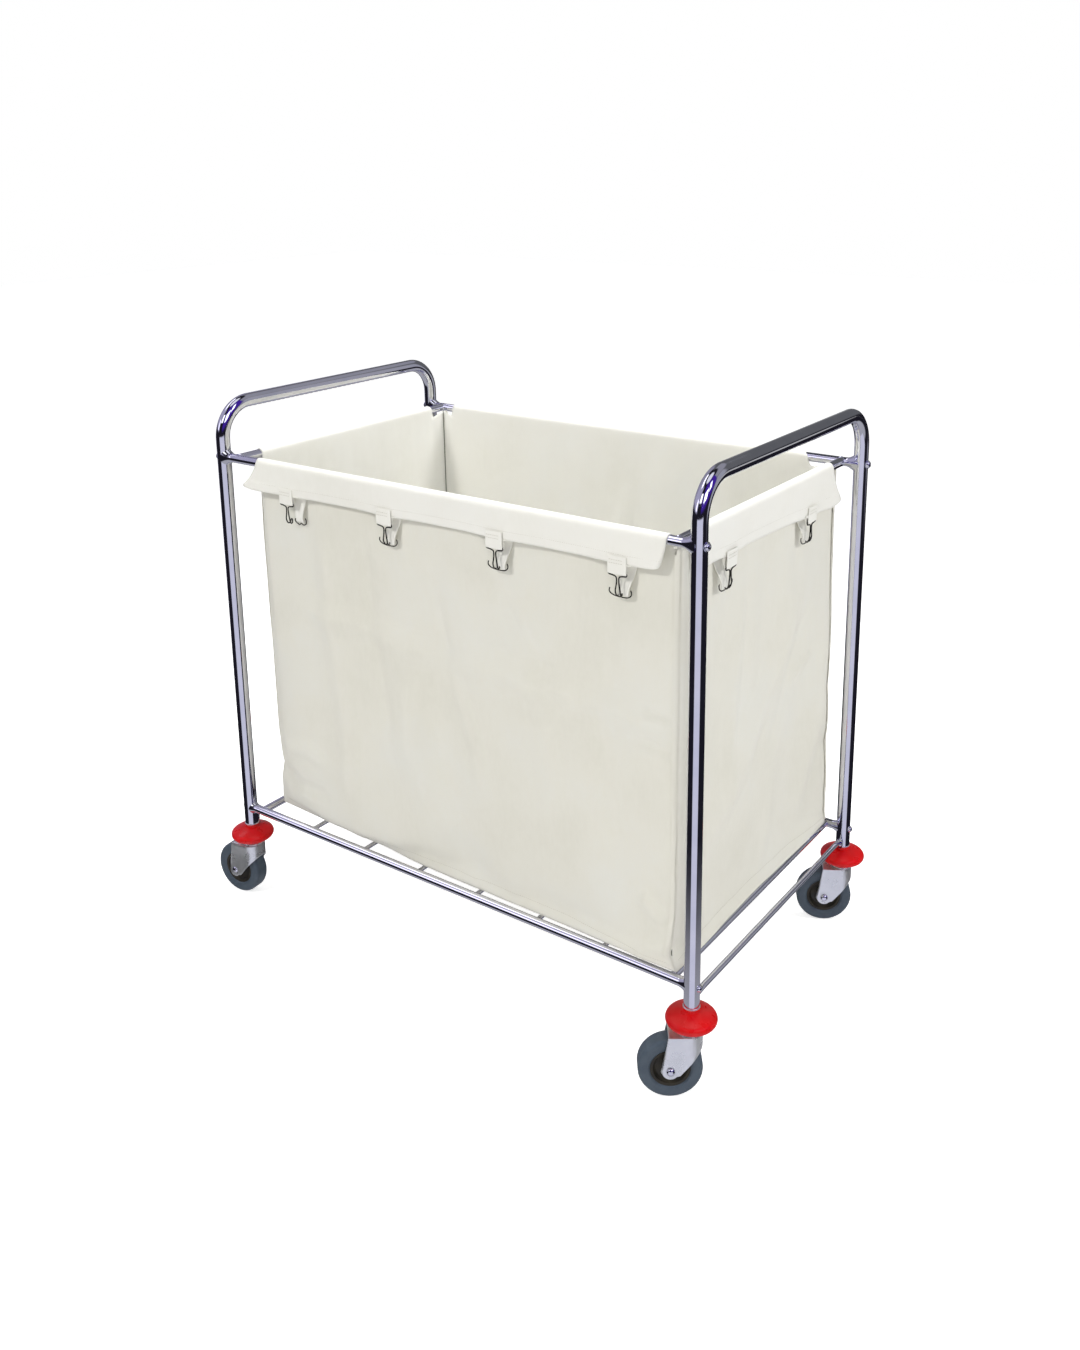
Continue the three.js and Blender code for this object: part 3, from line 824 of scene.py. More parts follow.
class Side:
    """One side of the bag: its wall from the hem up, its strip over the rail and its flap."""

    def __init__(self, name):
        self.name = name
        for key, value in SIDES[name].items():
            setattr(self, key, value)
        self.forward = Vector((0, 0, 1)).cross(self.outward)
        long = name in ("front", "back")
        self.half, self.depth = (WALL_X, WALL_Y) if long else (WALL_Y, WALL_X)
        cells = round((self.leave[1] - self.leave[0]) / CELL)
        left = np.linspace(-self.half, self.leave[0], CORNER_CELLS + 1)
        right = np.linspace(self.leave[1], self.half, CORNER_CELLS + 1)
        self.columns = [*left, *np.linspace(*self.leave, cells + 1)[1:-1], *right]
        bars = [Vector(joint["pos_m"]) for title, joint in JOINTS.items() if title.startswith(f"{name}_hook_")]
        self.hooks = [self.forward.dot(bar - Vector((CENTRE_X, 0, 0))) for bar in bars]
        self.flap_columns = range(CORNER_CELLS, len(self.columns) - CORNER_CELLS)
        wall_rows = round((WALL_TOP_Z - HEM_Z) / CELL)
        self.wall_heights = list(np.linspace(0, 1, wall_rows + 1))
        self.flap_drops = [0.1, 0.32, 0.54, 0.66, 0.70, 0.85, 1.0]

    def place(self, along, out, z):
        point = self.forward * along + self.outward * out
        return Vector((CENTRE_X + point.x, point.y, z))

    def bottom(self, share):
        """The hem, from this side's first corner to the next side's."""
        first, last = (Vector((CENTRE_X + x, y, HEM_Z)) for x, y in (HEM_CORNERS[c] for c in self.corners))
        return first.lerp(last, share) + self.outward * along_curve(self.hem, share) * MM

    def top(self, column):
        """Where the wall ends under the rail: at the flap's columns on the rail's line, and from there
        slanting to the corners."""
        last = len(self.columns) - 1
        point = self.place(self.columns[column], self.depth, WALL_TOP_Z)
        for corner, steps in zip(self.corners, (column, last - column)):
            if steps < CORNER_CELLS:
                x, y, z = TOP_CORNERS[corner]
                held = self.place(self.columns[CORNER_CELLS if steps == column else last - CORNER_CELLS], self.depth, WALL_TOP_Z)
                point = Vector((CENTRE_X + x, y, z)).lerp(held, steps / CORNER_CELLS)
        return point

    def wall(self, column, height):
        share = (self.columns[column] + self.half) / (2 * self.half)
        belly = self.belly * math.sin(math.pi * height) * math.sin(math.pi * share) ** 0.5
        return self.bottom(share).lerp(self.top(column), height) + self.outward * belly

    def flap_along(self, column, share):
        """How far along a flap's column is: from the wall's edge by way of the crest to the lower edge."""
        first, last = self.flap_columns[0], self.flap_columns[-1]
        across = (column - first) / (last - first)
        stages = [blend(*ends, across) for ends in (self.leave, self.crest, self.edge)]
        return blend(stages[0], stages[1], smoothstep(2 * share)) + (stages[2] - stages[1]) * max(0, 2 * share - 1) ** 2

    def over_rail(self, column, turn):
        """On the half circle over the rail, from its inner side to its outer one."""
        angle = math.pi * turn
        share = 0.15 + 0.45 * turn
        return self.place(
            self.flap_along(column, share),
            self.depth + DRAPE_R * (1 - math.cos(angle)),
            TOP_RAIL_Z + DRAPE_R * math.sin(angle),
        )

    def flap(self, column, drop):
        """On the flap, as a share of its drop below the rail."""
        first, last = self.flap_columns[0], self.flap_columns[-1]
        across = (column - first) / (last - first)
        length = blend(*self.drop, across)
        from_ends = (column - first, last - column)
        rounded = sum(cut * max(0, 1 - steps / 2.7) ** 2 for cut, steps in zip(self.rounded, from_ends))
        ends = self.flare[0] * math.exp(-12 * across) + self.flare[1] * math.exp(-12 * (1 - across))
        along = self.flap_along(column, 1)
        wave = 1.2 * MM * noise.noise(Vector((along * 9, self.depth * 31, 0)))
        held_out = max(math.exp(-(((along - hook) / HOOK_SPREAD) ** 2)) for hook in self.hooks)
        tucked = FLAP_TUCK * (1 - max(held_out, min(1, ends / (4 * MM))))
        out = self.depth + 2 * DRAPE_R + (ends + wave) * drop**1.4 - tucked * drop
        z = TOP_RAIL_Z - (length - rounded) * drop
        return self.place(self.flap_along(column, 0.6 + 0.4 * drop), out, z)

    def rows(self):
        """Every row's function and its place on it, and whether it belongs to the flap's columns."""
        rows = [(self.wall, height, False) for height in self.wall_heights]
        rows += [(self.over_rail, step / ARC_STEPS, True) for step in range(ARC_STEPS + 1)]
        return rows + [(self.flap, drop, True) for drop in self.flap_drops]


def bag_cloth():
    """The bag's middle surface: four walls with their flaps, welded at the corners, and a floor.
    Each vertex is held (in a group) where the rails, the seams or the deck hold it."""
    points, faces, uvs = [], [], []
    held, doubled = {}, {}
    for side in map(Side, SIDES):
        start = len(points)
        rows = side.rows()
        count = len(side.columns)
        travel = 0
        previous = None
        for row, (shape, place, on_flap) in enumerate(rows):
            centre = shape(count // 2, place)
            travel += (centre - previous).length if previous else 0
            previous = centre
            for column in range(count):
                inside = column in side.flap_columns
                points.append(shape(column, place) if inside or not on_flap else Vector((0, 0, -9)))
                uvs.append((side.columns[column], travel))
                index = len(points) - 1
                corner = min(column, count - 1 - column)
                held[index] = hold(side, shape, place, corner)
                doubled[index] = 1.0 if shape == side.flap and place > 0.68 else 0.0
        for face in grid_faces(len(rows), count):
            corners = [start + corner for corner in face]
            if all(points[corner].z > 0 for corner in corners):
                faces.append(corners)
    floor_points, floor_faces = bag_floor(len(points))
    for point in floor_points:
        held[len(points)] = 1.0
        doubled[len(points)] = 0.0
        points.append(point)
        uvs.append((point.x, point.y))
    return welded_cloth("bag_canvas", points, faces + floor_faces, uvs, held, doubled)


def hold(side, shape, place, corner):
    """How firmly a point is held: the rails, the flap and the hem wholly, a corner's seam a little."""
    if shape != side.wall or place < 0.001 or place > 0.985:
        return 1.0
    return 0.25 if corner == 0 else 0.0


def bag_floor(first_index):
    """The floor: the hem's outline filled in, sagging a little between the deck's members."""
    front, right, back, left = map(Side, SIDES)
    across, deep = len(front.columns), len(right.columns)
    shares = [(column + front.half) / (2 * front.half) for column in front.columns]
    depths = [(column + right.half) / (2 * right.half) for column in right.columns]
    points = []
    for depth in depths:
        for share in shares:
            edge_x = left.bottom(1 - depth).lerp(right.bottom(depth), share)
            edge_y = front.bottom(share).lerp(back.bottom(1 - share), depth)
            corner = front.bottom(0).lerp(front.bottom(1), share).lerp(
                back.bottom(1).lerp(back.bottom(0), share), depth
            )
            point = edge_x + edge_y - corner
            lift = min(share, 1 - share, depth, 1 - depth)
            point.z = HEM_Z - 2.2 * MM * smoothstep(12 * lift)
            points.append(point)
    faces = [[first_index + corner for corner in face] for face in grid_faces(deep, across)]
    return points, faces


def welded_cloth(name, points, faces, uvs, held, doubled):
    mesh = bpy.data.meshes.new(name)
    mesh.from_pydata([tuple(point) for point in points], [], faces)
    layer = mesh.uv_layers.new(name="cloth")
    for loop in mesh.loops:
        layer.data[loop.index].uv = uvs[loop.vertex_index]
    piece = link(bpy.data.objects.new(name, mesh))
    for title, weights in (("held", held), ("doubled", doubled)):
        group = piece.vertex_groups.new(name=title)
        for index, weight in weights.items():
            if weight > 0:
                group.add([index], weight, "REPLACE")
    tidy = bmesh.new()
    tidy.from_mesh(mesh)
    loose = [vert for vert in tidy.verts if not vert.link_faces]
    bmesh.ops.delete(tidy, geom=loose, context="VERTS")
    bmesh.ops.remove_doubles(tidy, verts=tidy.verts, dist=0.5 * MM)
    bmesh.ops.recalc_face_normals(tidy, faces=tidy.faces)
    tidy.to_mesh(mesh)
    tidy.free()
    return piece


def ruffle(piece, amount, scale, seed):
    """Seeded unevenness, so that the slack gathers in uneven folds."""
    for vert in piece.data.vertices:
        spot = vert.co * scale + Vector((seed, 2 * seed, 0))
        vert.co += noise.noise_vector(spot) * amount * (1 - held_weight(piece, vert))


def held_weight(piece, vert):
    index = piece.vertex_groups["held"].index
    return max((entry.weight for entry in vert.groups if entry.group == index), default=0.0)


def hang(piece, slack, frames):
    """Lets the canvas settle under its own weight, cut a little larger than the frame is."""
    cloth = piece.modifiers.new("cloth", "CLOTH")
    settings = cloth.settings
    settings.quality = 6
    settings.mass = 0.35
    settings.tension_stiffness = 40
    settings.compression_stiffness = 40
    settings.shear_stiffness = 15
    settings.bending_stiffness = 2.5
    settings.tension_damping = 15
    settings.compression_damping = 15
    settings.shear_damping = 15
    settings.air_damping = 3
    settings.vertex_group_mass = "held"
    settings.pin_stiffness = 1
    settings.shrink_min = -slack
    cloth.collision_settings.use_collision = False
    cloth.collision_settings.use_self_collision = False
    cloth.point_cache.frame_start = 1
    cloth.point_cache.frame_end = frames
    for step in range(1, frames + 1):
        bpy.context.scene.frame_set(step)
    keep_modified(piece)
    bpy.context.scene.frame_set(1)


def keep_modified(piece):
    """Applies a piece's modifiers to its mesh."""
    shape = piece.evaluated_get(bpy.context.evaluated_depsgraph_get())
    settled = bpy.data.meshes.new_from_object(shape)
    piece.modifiers.clear()
    old, piece.data = piece.data, settled
    settled.name = old.name
    bpy.data.meshes.remove(old)


# Storage creases and puckers of the canvas: the side, the line as (along, height) points, how wide
# the tent of cloth beside it is, and how far it stands out (or in) along its middle.
CREASES = (
    ("front", ((-0.250, 0.800), (-0.240, 0.600), (-0.215, 0.400), (-0.228, 0.230)), 0.032, 0.0090),
    ("front", ((-0.160, 0.790), (-0.150, 0.640), (-0.120, 0.420)), 0.026, -0.0080),
    ("front", ((0.060, 0.800), (0.120, 0.700), (0.210, 0.560), (0.230, 0.300)), 0.032, 0.0090),
    ("front", ((0.330, 0.790), (0.310, 0.560), (0.340, 0.330)), 0.030, -0.0080),
    ("front", ((-0.346, 0.623), (-0.179, 0.620), (-0.059, 0.601), (0.019, 0.597)), 0.034, 0.0100),
    ("front", ((0.019, 0.597), (0.110, 0.604), (0.236, 0.601), (0.350, 0.592), (0.446, 0.588)), 0.036, 0.0108),
    ("front", ((-0.027, 0.762), (0.004, 0.643), (0.019, 0.597)), 0.020, -0.0053),
    ("front", ((0.019, 0.597), (0.048, 0.520), (0.073, 0.448), (0.077, 0.364)), 0.022, 0.0057),
    ("front", ((0.100, 0.735), (0.165, 0.640), (0.215, 0.600)), 0.040, -0.0120),
    ("front", ((-0.060, 0.560), (-0.070, 0.420), (-0.020, 0.300), (0.000, 0.235)), 0.050, 0.0120),
    ("front", ((-0.395, 0.330), (-0.330, 0.345), (-0.270, 0.325)), 0.022, 0.0084),
    ("front", ((-0.400, 0.290), (-0.350, 0.268), (-0.270, 0.262)), 0.020, -0.0072),
    ("front", ((0.395, 0.607), (0.445, 0.600)), 0.010, -0.0072),
    ("front", ((0.385, 0.560), (0.445, 0.548)), 0.012, -0.0067),
    ("front", ((0.390, 0.300), (0.440, 0.270)), 0.020, 0.0108),
    ("right", ((0.160, 0.700), (0.060, 0.560), (-0.060, 0.430), (-0.190, 0.330)), 0.050, 0.0132),
    ("right", ((0.205, 0.640), (0.120, 0.520), (0.060, 0.410)), 0.030, -0.0084),
    ("right", ((0.210, 0.545), (0.145, 0.520)), 0.012, 0.0072),
    ("right", ((-0.060, 0.780), (-0.080, 0.560), (-0.090, 0.330)), 0.022, 0.0060),
    ("back", ((-0.400, 0.600), (-0.150, 0.608), (0.120, 0.596), (0.420, 0.604)), 0.034, 0.0108),
    ("back", ((-0.010, 0.780), (0.010, 0.520), (0.000, 0.260)), 0.026, -0.0084),
    ("left", ((-0.240, 0.610), (0.000, 0.600), (0.240, 0.612)), 0.034, 0.0096),
    ("left", ((0.000, 0.780), (0.015, 0.520), (0.000, 0.260)), 0.024, -0.0072),
)


def press_creases(piece):
    """Moves the walls' points in or out beside each crease, in a tent that fades at its ends."""
    count = len(piece.data.vertices)
    flat = np.empty(count * 3)
    piece.data.vertices.foreach_get("co", flat)
    points = flat.reshape(count, 3)
    centred = points - np.array([CENTRE_X, 0, 0])
    for name, line, width, stand in CREASES:
        side = Side(name)
        outward, forward = np.array(side.outward), np.array(side.forward)
        along, out, up = centred @ forward, centred @ outward, centred[:, 2]
        on_wall = (out > side.depth - 60 * MM) & (up > HEM_Z + 1 * MM) & (out < side.depth + 30 * MM)
        on_wall &= up < TOP_RAIL_Z - 20 * MM
        distance, share = distance_to_line(along, up, np.array(line))
        tent = np.clip(1 - np.sqrt(distance**2 + (0.12 * width) ** 2) / width, 0, None)
        fade = np.clip(np.minimum(share, 1 - share) / 0.15, 0, 1)
        edge = np.clip((up - HEM_Z) / (30 * MM), 0, 1)
        points += np.outer(stand * tent * fade * edge * on_wall, outward)
    piece.data.vertices.foreach_set("co", points.ravel())
    piece.data.update()


def distance_to_line(along, up, line):
    """Each point's distance to a broken line, and how far along that line its nearest place is."""
    best = np.full(len(along), 1e9)
    share = np.zeros(len(along))
    lengths = np.linalg.norm(np.diff(line, axis=0), axis=1)
    total, travelled = lengths.sum(), 0
    for start, end, length in zip(line[:-1], line[1:], lengths):
        direction = (end - start) / length
        reach = (along - start[0]) * direction[0] + (up - start[1]) * direction[1]
        clipped = np.clip(reach, 0, length)
        near = np.hypot(along - start[0] - clipped * direction[0], up - start[1] - clipped * direction[1])
        closer = near < best
        best[closer] = near[closer]
        share[closer] = (travelled + clipped[closer]) / total
        travelled += length
    return best, share


def canvas(name, dull, middle_tint, clean):
    """Unbleached cotton canvas: a plain weave, slubs, faint warm and cool clouds and soft sheen."""
    shader = Shader(name)
    split = shader.node("SeparateXYZ")
    shader.link(shader.coordinates("UV"), split.inputs["Vector"])
    threads = []
    for axis, turns in (("X", 0.0), ("Y", math.pi / 2)):
        angle = shader.math("MULTIPLY", split.outputs[axis], 2 * math.pi / (1.1 * MM))
        threads.append(shader.math("SINE", shader.math("ADD", angle, turns)))
    weave = shader.math("MULTIPLY", threads[0], threads[1])
    cloud = shader.noise(5, detail=4, roughness=0.55)
    slub = shader.noise(140, detail=4, roughness=0.65, stretch=(1, 1, 0.35))
    tint = shader.ramp(
        shader.math("ADD", shader.math("MULTIPLY", cloud, 0.8), shader.math("MULTIPLY", slub, 0.2)),
        (0.30, dull),
        (0.50, middle_tint),
        (0.70, clean),
    )
    crumple = shader.noise(24, detail=5, roughness=0.55)
    soft = shader.bump(crumple, 1.6 * MM, 0.25)
    knobbly = shader.bump(slub, 0.25 * MM, 0.35, under=soft)
    shader.set(Roughness=0.92, Sheen_Weight=0.15, Sheen_Roughness=0.6)
    shader.drive(Base_Color=tint, Normal=shader.bump(weave, 0.12 * MM, 0.30, under=knobbly))
    return shader.material


def bag(outside, inside):
    cloth = bag_cloth()
    ruffle(cloth, 2.5 * MM, 9, seed=4)
    hang(cloth, slack=0.007, frames=24)
    smooth = cloth.modifiers.new("finer", "SUBSURF")
    smooth.levels = smooth.render_levels = 1
    keep_modified(cloth)
    press_creases(cloth)
    shell = cloth.modifiers.new("thickness", "SOLIDIFY")
    shell.thickness = 2 * CANVAS
    shell.offset = 0
    shell.vertex_group = "doubled"
    shell.thickness_vertex_group = 0.5
    shell.material_offset = 1
    cloth.data.shade_smooth()
    # The paler lining, partly painted light, goes on the side of the cloth that shows inside the bag and on the flaps;
    # the outer cloth goes on the shell's other side.
    dress(cloth, inside, nodes=["bag"])
    cloth.data.materials.append(outside)
    return cloth


# ---- what is sewn to the bag ----

TAB_WIDTH = 32 * MM
STRAP_WIDTH = 25 * MM
RING_DROP = 36 * MM
STRAP_SHIFT = 10 * MM


class Surface:
    """The finished canvas, to lay other pieces on."""

    def __init__(self, piece):
        graph = bpy.context.evaluated_depsgraph_get()
        self.tree = BVHTree.FromObject(piece, graph)

    def beside(self, point, outward, lift):
        """The point brought straight in to the canvas from outside, and lifted off it again."""
        hit, *_ = self.tree.ray_cast(point + outward * 60 * MM, -outward, 120 * MM)
        return (hit or point) + outward * lift

    def nearest(self, point):
        found, *_ = self.tree.find_nearest(point)
        return found or point


def ribbon(name, rows, thickness):
    """A strip of cloth through rows of points, all with the same number of points."""
    points = [point for row in rows for point in row]
    strip = mesh_piece(name, points, grid_faces(len(rows), len(rows[0])))
    shell = strip.modifiers.new("thickness", "SOLIDIFY")
    shell.thickness = thickness
    shell.offset = 0
    layer = strip.data.uv_layers.new(name="cloth")
    for loop in strip.data.loops:
        point = strip.data.vertices[loop.vertex_index].co
        layer.data[loop.index].uv = (point.x + point.y, point.z)
    return bevelled(strip, 0.3 * MM, 2)


def stitches(name, lines, material, pitch=4 * MM, length=2.9 * MM, radius=0.35 * MM):
    """Running stitches along lines of (point, outward) pairs, as small spindles of thread."""
    points, faces = [], []
    sides = 5
    for line in lines:
        lengths = [0.0]
        for (a, _), (b, _) in zip(line[:-1], line[1:]):
            lengths.append(lengths[-1] + (b - a).length)
        for step in range(int((lengths[-1] - length) / pitch) + 1):
            ends = [point_along(line, lengths, step * pitch + shift) for shift in (0, length)]
            (start, out), (stop, _) = ends
            along = (stop - start).normalized()
            across = along.cross(out).normalized()
            first = len(points)
            for share, fat in ((0, 0.35), (0.25, 1), (0.75, 1), (1, 0.35)):
                centre = start.lerp(stop, share)
                for side in range(sides):
                    turn = 2 * math.pi * side / sides
                    points.append(centre + (across * math.cos(turn) + out * math.sin(turn)) * radius * fat)
            for ring in range(3):
                for side in range(sides):
                    a, b = first + ring * sides + side, first + ring * sides + (side + 1) % sides
                    faces.append((a, b, b + sides, a + sides))
            faces += [tuple(range(first, first + sides)), tuple(range(first + 3 * sides, first + 4 * sides))]
    thread = mesh_piece(name, points, faces, sharp_angle=80)
    return dress(thread, material)


def point_along(line, lengths, distance):
    step = next((i for i in range(1, len(lengths) - 1) if lengths[i] > distance), len(lengths) - 1)
    share = (distance - lengths[step - 1]) / max(lengths[step] - lengths[step - 1], 1e-9)
    (a, out), (b, _) = line[step - 1], line[step]
    return a.lerp(b, min(max(share, 0), 1)), out


def corner_bands(surface, material):
    """The bound seams down the bag's four corners."""
    bands = []
    for side in map(Side, SIDES):
        last = len(side.columns) - 1
        rows = []
        steps = 60
        for step in range(steps + 1):
            height = blend(0.015, 1, step / steps)
            corner = surface.nearest(side.wall(last, height))
            lift = CANVAS * 0.5 + (0.8 + 0.9 * smoothstep((height - 0.7) / 0.3)) * MM
            rows.append([
                surface.beside(corner - side.forward * back, side.outward, lift + extra)
                for back, extra in ((9.5 * MM, 0.3 * MM), (6 * MM, 0.5 * MM), (1.2 * MM, 0))
            ])
        name = f"{side.corners[1]}_corner"
        band = ribbon(f"{name}_binding", rows, 1.1 * MM)
        bands.append(dress(band, material))
    return bands


def inner_seams_painted_shade(surface, material):
    """Overlocked seam threads up the inside of the corners, coloured dark as painted shade of the corners' folds, so
    that they show as thin dark lines.
    """
    seams = []
    centre = Vector((CENTRE_X, 0, 0))
    for side in map(Side, SIDES):
        last = len(side.columns) - 1
        path = []
        for step in range(50):
            corner = surface.nearest(side.wall(last, step / 49))
            inward = (centre - corner).normalized()
            inward.z = 0
            path.append(corner + inward.normalized() * 2.6 * MM)
        seam = round_wire(f"{side.corners[1]}_corner_overlock", path, 0.9 * MM, sides=8)
        seams.append(dress(seam, material))
    return seams


def hooks_of(side):
    """A side's hooks in order along it: each one's name and its bar's middle."""
    found = [name for name in JOINTS if name.startswith(f"{side.name}_hook_")]
    return [(name.removesuffix("_swing"), Vector(JOINTS[name]["pos_m"])) for name in found]


def tab(name, side, bar, material):
    """A loop of canvas from the flap's lower edge, folded round the hook's bar and sewn behind."""
    gap = WIRE_R + 0.9 * MM
    outline = [(gap + 0.5 * MM, 26 * MM), (gap + 0.3 * MM, 14 * MM), (gap, 4 * MM)]
    for step in range(9):
        turn = math.pi * step / 8
        outline.append((gap * math.cos(turn), -gap * math.sin(turn)))
    outline += [(-gap, 4 * MM), (-gap + 0.1 * MM, 13 * MM), (-gap, 22 * MM)]
    rows = []
    for out, up in outline:
        taper = 1 - 0.04 * smoothstep(-up / gap)
        across = [(-0.5 + step / 8) * TAB_WIDTH * taper for step in range(9)]
        bend = [0.7 * MM * math.cos(math.pi * u / TAB_WIDTH) for u in across]
        rows.append([
            bar + side.forward * u + side.outward * (out + rise * (1 if out > 0 else -1)) + Vector((0, 0, up))
            for u, rise in zip(across, bend)
        ])
    return dress(ribbon(f"{name}_tab", rows, 1.1 * MM), material)


def tab_thread_lines(side, bar):
    """Two rows of stitches across the tab, where it is sewn to the flap."""
    out = WIRE_R + 3.1 * MM
    lines = []
    for up in (15 * MM, 20 * MM):
        ends = [bar + side.forward * u + side.outward * out + Vector((0, 0, up)) for u in (-13 * MM, 13 * MM)]
        lines.append([(point, side.outward) for point in ends])
    return lines


def strap(name, side, surface, bar, shift, hooked, material):
    """A short strap sewn to the wall behind the flap. Its lower end is gathered round a wire ring,
    held out to the hook's foot, or hanging free on its own."""
    ring = bar + side.forward * shift * 0.55 - side.outward * 8 * MM - Vector((0, 0, RING_DROP))
    if not hooked:
        ring = surface.beside(bar + side.forward * shift * 1.75 - Vector((0, 0, RING_DROP - 2 * MM)), side.outward, 5 * MM)
    top = bar + side.forward * shift * (1.1 if hooked else 1.75) + Vector((0, 0, 14 * MM))
    rows = []
    steps = 12
    for step in range(steps + 1):
        share = step / steps
        row = []
        width = STRAP_WIDTH * (1 - 0.34 * smoothstep(share * 1.2 - 0.2))
        middle_point = top.lerp(ring, share)
        for k in range(7):
            u = (k / 6 - 0.5) * width
            spot = middle_point + side.forward * u
            wall = surface.beside(spot, side.outward, 1.6 * MM)
            away = smoothstep(share * 1.15 - 0.1)
            gather = 1.6 * MM * math.cos(2.2 * math.pi * k / 6) * share
            point = wall.lerp(spot, away) + side.outward * gather
            point.z = spot.z
            row.append(point)
        rows.append(row)
    piece = dress(ribbon(f"{name}_strap", rows, 1.3 * MM), material)
    return piece, ring


def ring_wire(name, side, ring, shift, hooked, material):
    """The wire ring at a strap's end: open, its ends curled up like a cup hook's."""
    lean = 1 if shift > 0 else -1
    if hooked:
        outline = [(-23, 9, 2), (-24.5, 4, 1), (-22, 0, 0), (-15, -2.4, 0), (-4, -3, 0), (6, -2.4, 0)]
        outline += [(11.5, 1, -0.5), (12.5, 6, -1), (10.5, 9, -1.5)]
    else:
        outline = [(-11, 5, 2), (-13, 1, 1), (-10, -3, 0), (-3, -5, 0.5), (2, -2, 1.5), (7, -4.4, 0.5)]
        outline += [(12, -2, 0), (13, 3, 0), (11, 8, 0)]
    corners = [
        ring + side.forward * lean * u * MM + side.outward * w * MM + Vector((0, 0, v * MM)) for u, v, w in outline
    ]
    wire = round_wire(f"{name}_ring", smooth_path(corners, 6), WIRE_R * 0.85, sides=12)
    return dress(wire, material)


def hook_wire_path(side, bar):
    """The hook's wire: across the bar, down both shoulders to the neck, and down a narrow loop whose
    foot curls in towards the bag."""
    half = [(0, 0, 0), (8, 0, 0), (14.2, 0, 0), (15.6, 0.4, -1.6), (14.2, 0.3, -3.6), (8, 0.2, -4.6)]
    half += [(3.4, 0.1, -6.2), (1.9, 0, -10), (2.6, 0, -19), (4.0, 0, -27), (3.9, -1.4, -33), (3.4, -4.2, -36.6)]
    half += [(2.6, -7.4, -35.4), (1.8, -8.6, -31.4), (0, -8.8, -29.6)]
    ends = [(-u, out, up) for u, out, up in reversed(half[1:-1])]
    return [bar + (side.forward * u + side.outward * out + Vector((0, 0, up))) * MM for u, out, up in half + ends]


def fastenings(surface, cloth_material, thread, wire):
    """The snap hooks on their tabs, and the straps and rings that they catch."""
    sewn, lines = [], []
    for side in map(Side, SIDES):
        shift = STRAP_SHIFT if side.name in ("front", "back") else -STRAP_SHIFT
        for name, bar in hooks_of(side):
            path = smooth_path(hook_wire_path(side, bar), 5, closed=True)
            hook = round_wire(f"{name}_wire", path, WIRE_R, closed=True, sides=12)
            dress(hook, wire, name, [name])
            sewn.append(tab(name, side, bar, cloth_material))
            lines += tab_thread_lines(side, bar)
            hooked = name != "front_hook_1"
            piece, ring = strap(name, side, surface, bar, shift, hooked, cloth_material)
            sewn += [piece, ring_wire(name, side, ring, shift, hooked, wire)]
        flap = [side.flap(column, 0.70) for column in side.flap_columns]
        lines.append([(point + side.outward * 0.9 * MM, side.outward) for point in flap])
    sewn.append(stitches("flap_stitching", lines, thread))
    return sewn


def hem_stitching(surface, thread):
    """A row of stitches round the bag above its lower hem."""
    lines = []
    for side in map(Side, SIDES):
        line = []
        for column in range(1, len(side.columns) - 1):
            point = surface.beside(side.wall(column, 0) + Vector((0, 0, HEM)), side.outward, 0.1 * MM)
            line.append((point, side.outward))
        lines.append(line)
    return stitches("hem_stitching", lines, thread)


def sewing_thread():
    """Matt cotton thread, a shade darker than the canvas."""
    shader = Shader("cotton_thread")
    fibre = shader.noise(900, detail=3)
    shader.set(Roughness=0.8)
    shader.drive(
        Base_Color=shader.ramp(fibre, (0.3, (0.50, 0.48, 0.40)), (0.7, (0.66, 0.64, 0.56))),
        Normal=shader.bump(fibre, 0.05 * MM, 0.5),
    )
    return shader.material


def overlock_thread():
    """Grey-green overlock thread, dark between its loops, and dark all over as painted shade of the bag's inner
    corners.
    """
    shader = Shader("overlock_thread")
    loops = shader.noise(500, detail=2, stretch=(1, 1, 0.5))
    shader.set(Roughness=0.85)
    shader.drive(
        Base_Color=shader.ramp(loops, (0.35, (0.10, 0.10, 0.08)), (0.7, (0.26, 0.26, 0.21))),
        Normal=shader.bump(loops, 0.2 * MM, 0.5),
    )
    return shader.material


# ---- studio ----


def camera():
    """At the photograph's viewpoint: level, about 14 degrees down, from the front right."""
    data = bpy.data.cameras.new("camera")
    data.lens = 34.34
    data.shift_x = -0.0172
    data.shift_y = -0.1488
    obj = link(bpy.data.objects.new("camera", data))
    right = Vector((0.81733, 0.57609, -0.0096))
    up = Vector((-0.13357, 0.20565, 0.96947))
    back = right.cross(up).normalized()
    turn = Matrix((right, up, back)).transposed().to_4x4()
    obj.matrix_world = Matrix.Translation((1.3336, -1.7684, 1.4082)) @ turn
    bpy.context.scene.camera = obj


AMBIENT = 0.335

# What the chrome mirrors, as windows of light in a dark room: azimuths from and to, elevations from
# and to (degrees), how soft their edges are, and their colour.
MIRRORED = (
    (-180, 180, -90, -34, 9, (0.42, 0.42, 0.47)),
    (-96, -20, -60, -4, 4, (0.66, 0.66, 0.80)),
    (40, 130, 3, 60, 9, (0.125, 0.128, 0.138)),
    (50, 66, -12, -4, 2, (0.50, 0.50, 0.50)),
    (-180, -108, 8, 62, 8, (0.42, 0.40, 0.56)),
    (130, 180, -20, 50, 8, (0.30, 0.29, 0.38)),
    (-60, 30, 10, 70, 14, (0.060, 0.020, 0.34)),
    (-44, -14, 24, 46, 2, (2.4, 2.4, 2.6)),
    (-6, 8, 30, 54, 2, (2.0, 2.0, 2.2)),
    (-100, -72, 30, 50, 2, (1.8, 1.8, 2.0)),
    (104, 135, -16, 10, 10, (0.34, 0.345, 0.35)),
    (28, 112, 34, 60, 6, (0.30, 0.30, 0.35)),
    (30, 54, -14, 32, 8, (0.36, 0.36, 0.42)),
    (-180, -148, 47, 60, 3, (1.9, 1.85, 2.1)),
    (-133, -116, 10, 32, 3, (1.5, 1.45, 1.8)),
    (158, 180, 47, 60, 3, (1.9, 1.85, 2.1)),
    (-180, 180, 74, 90, 5, (0.9, 0.9, 1.0)),
)


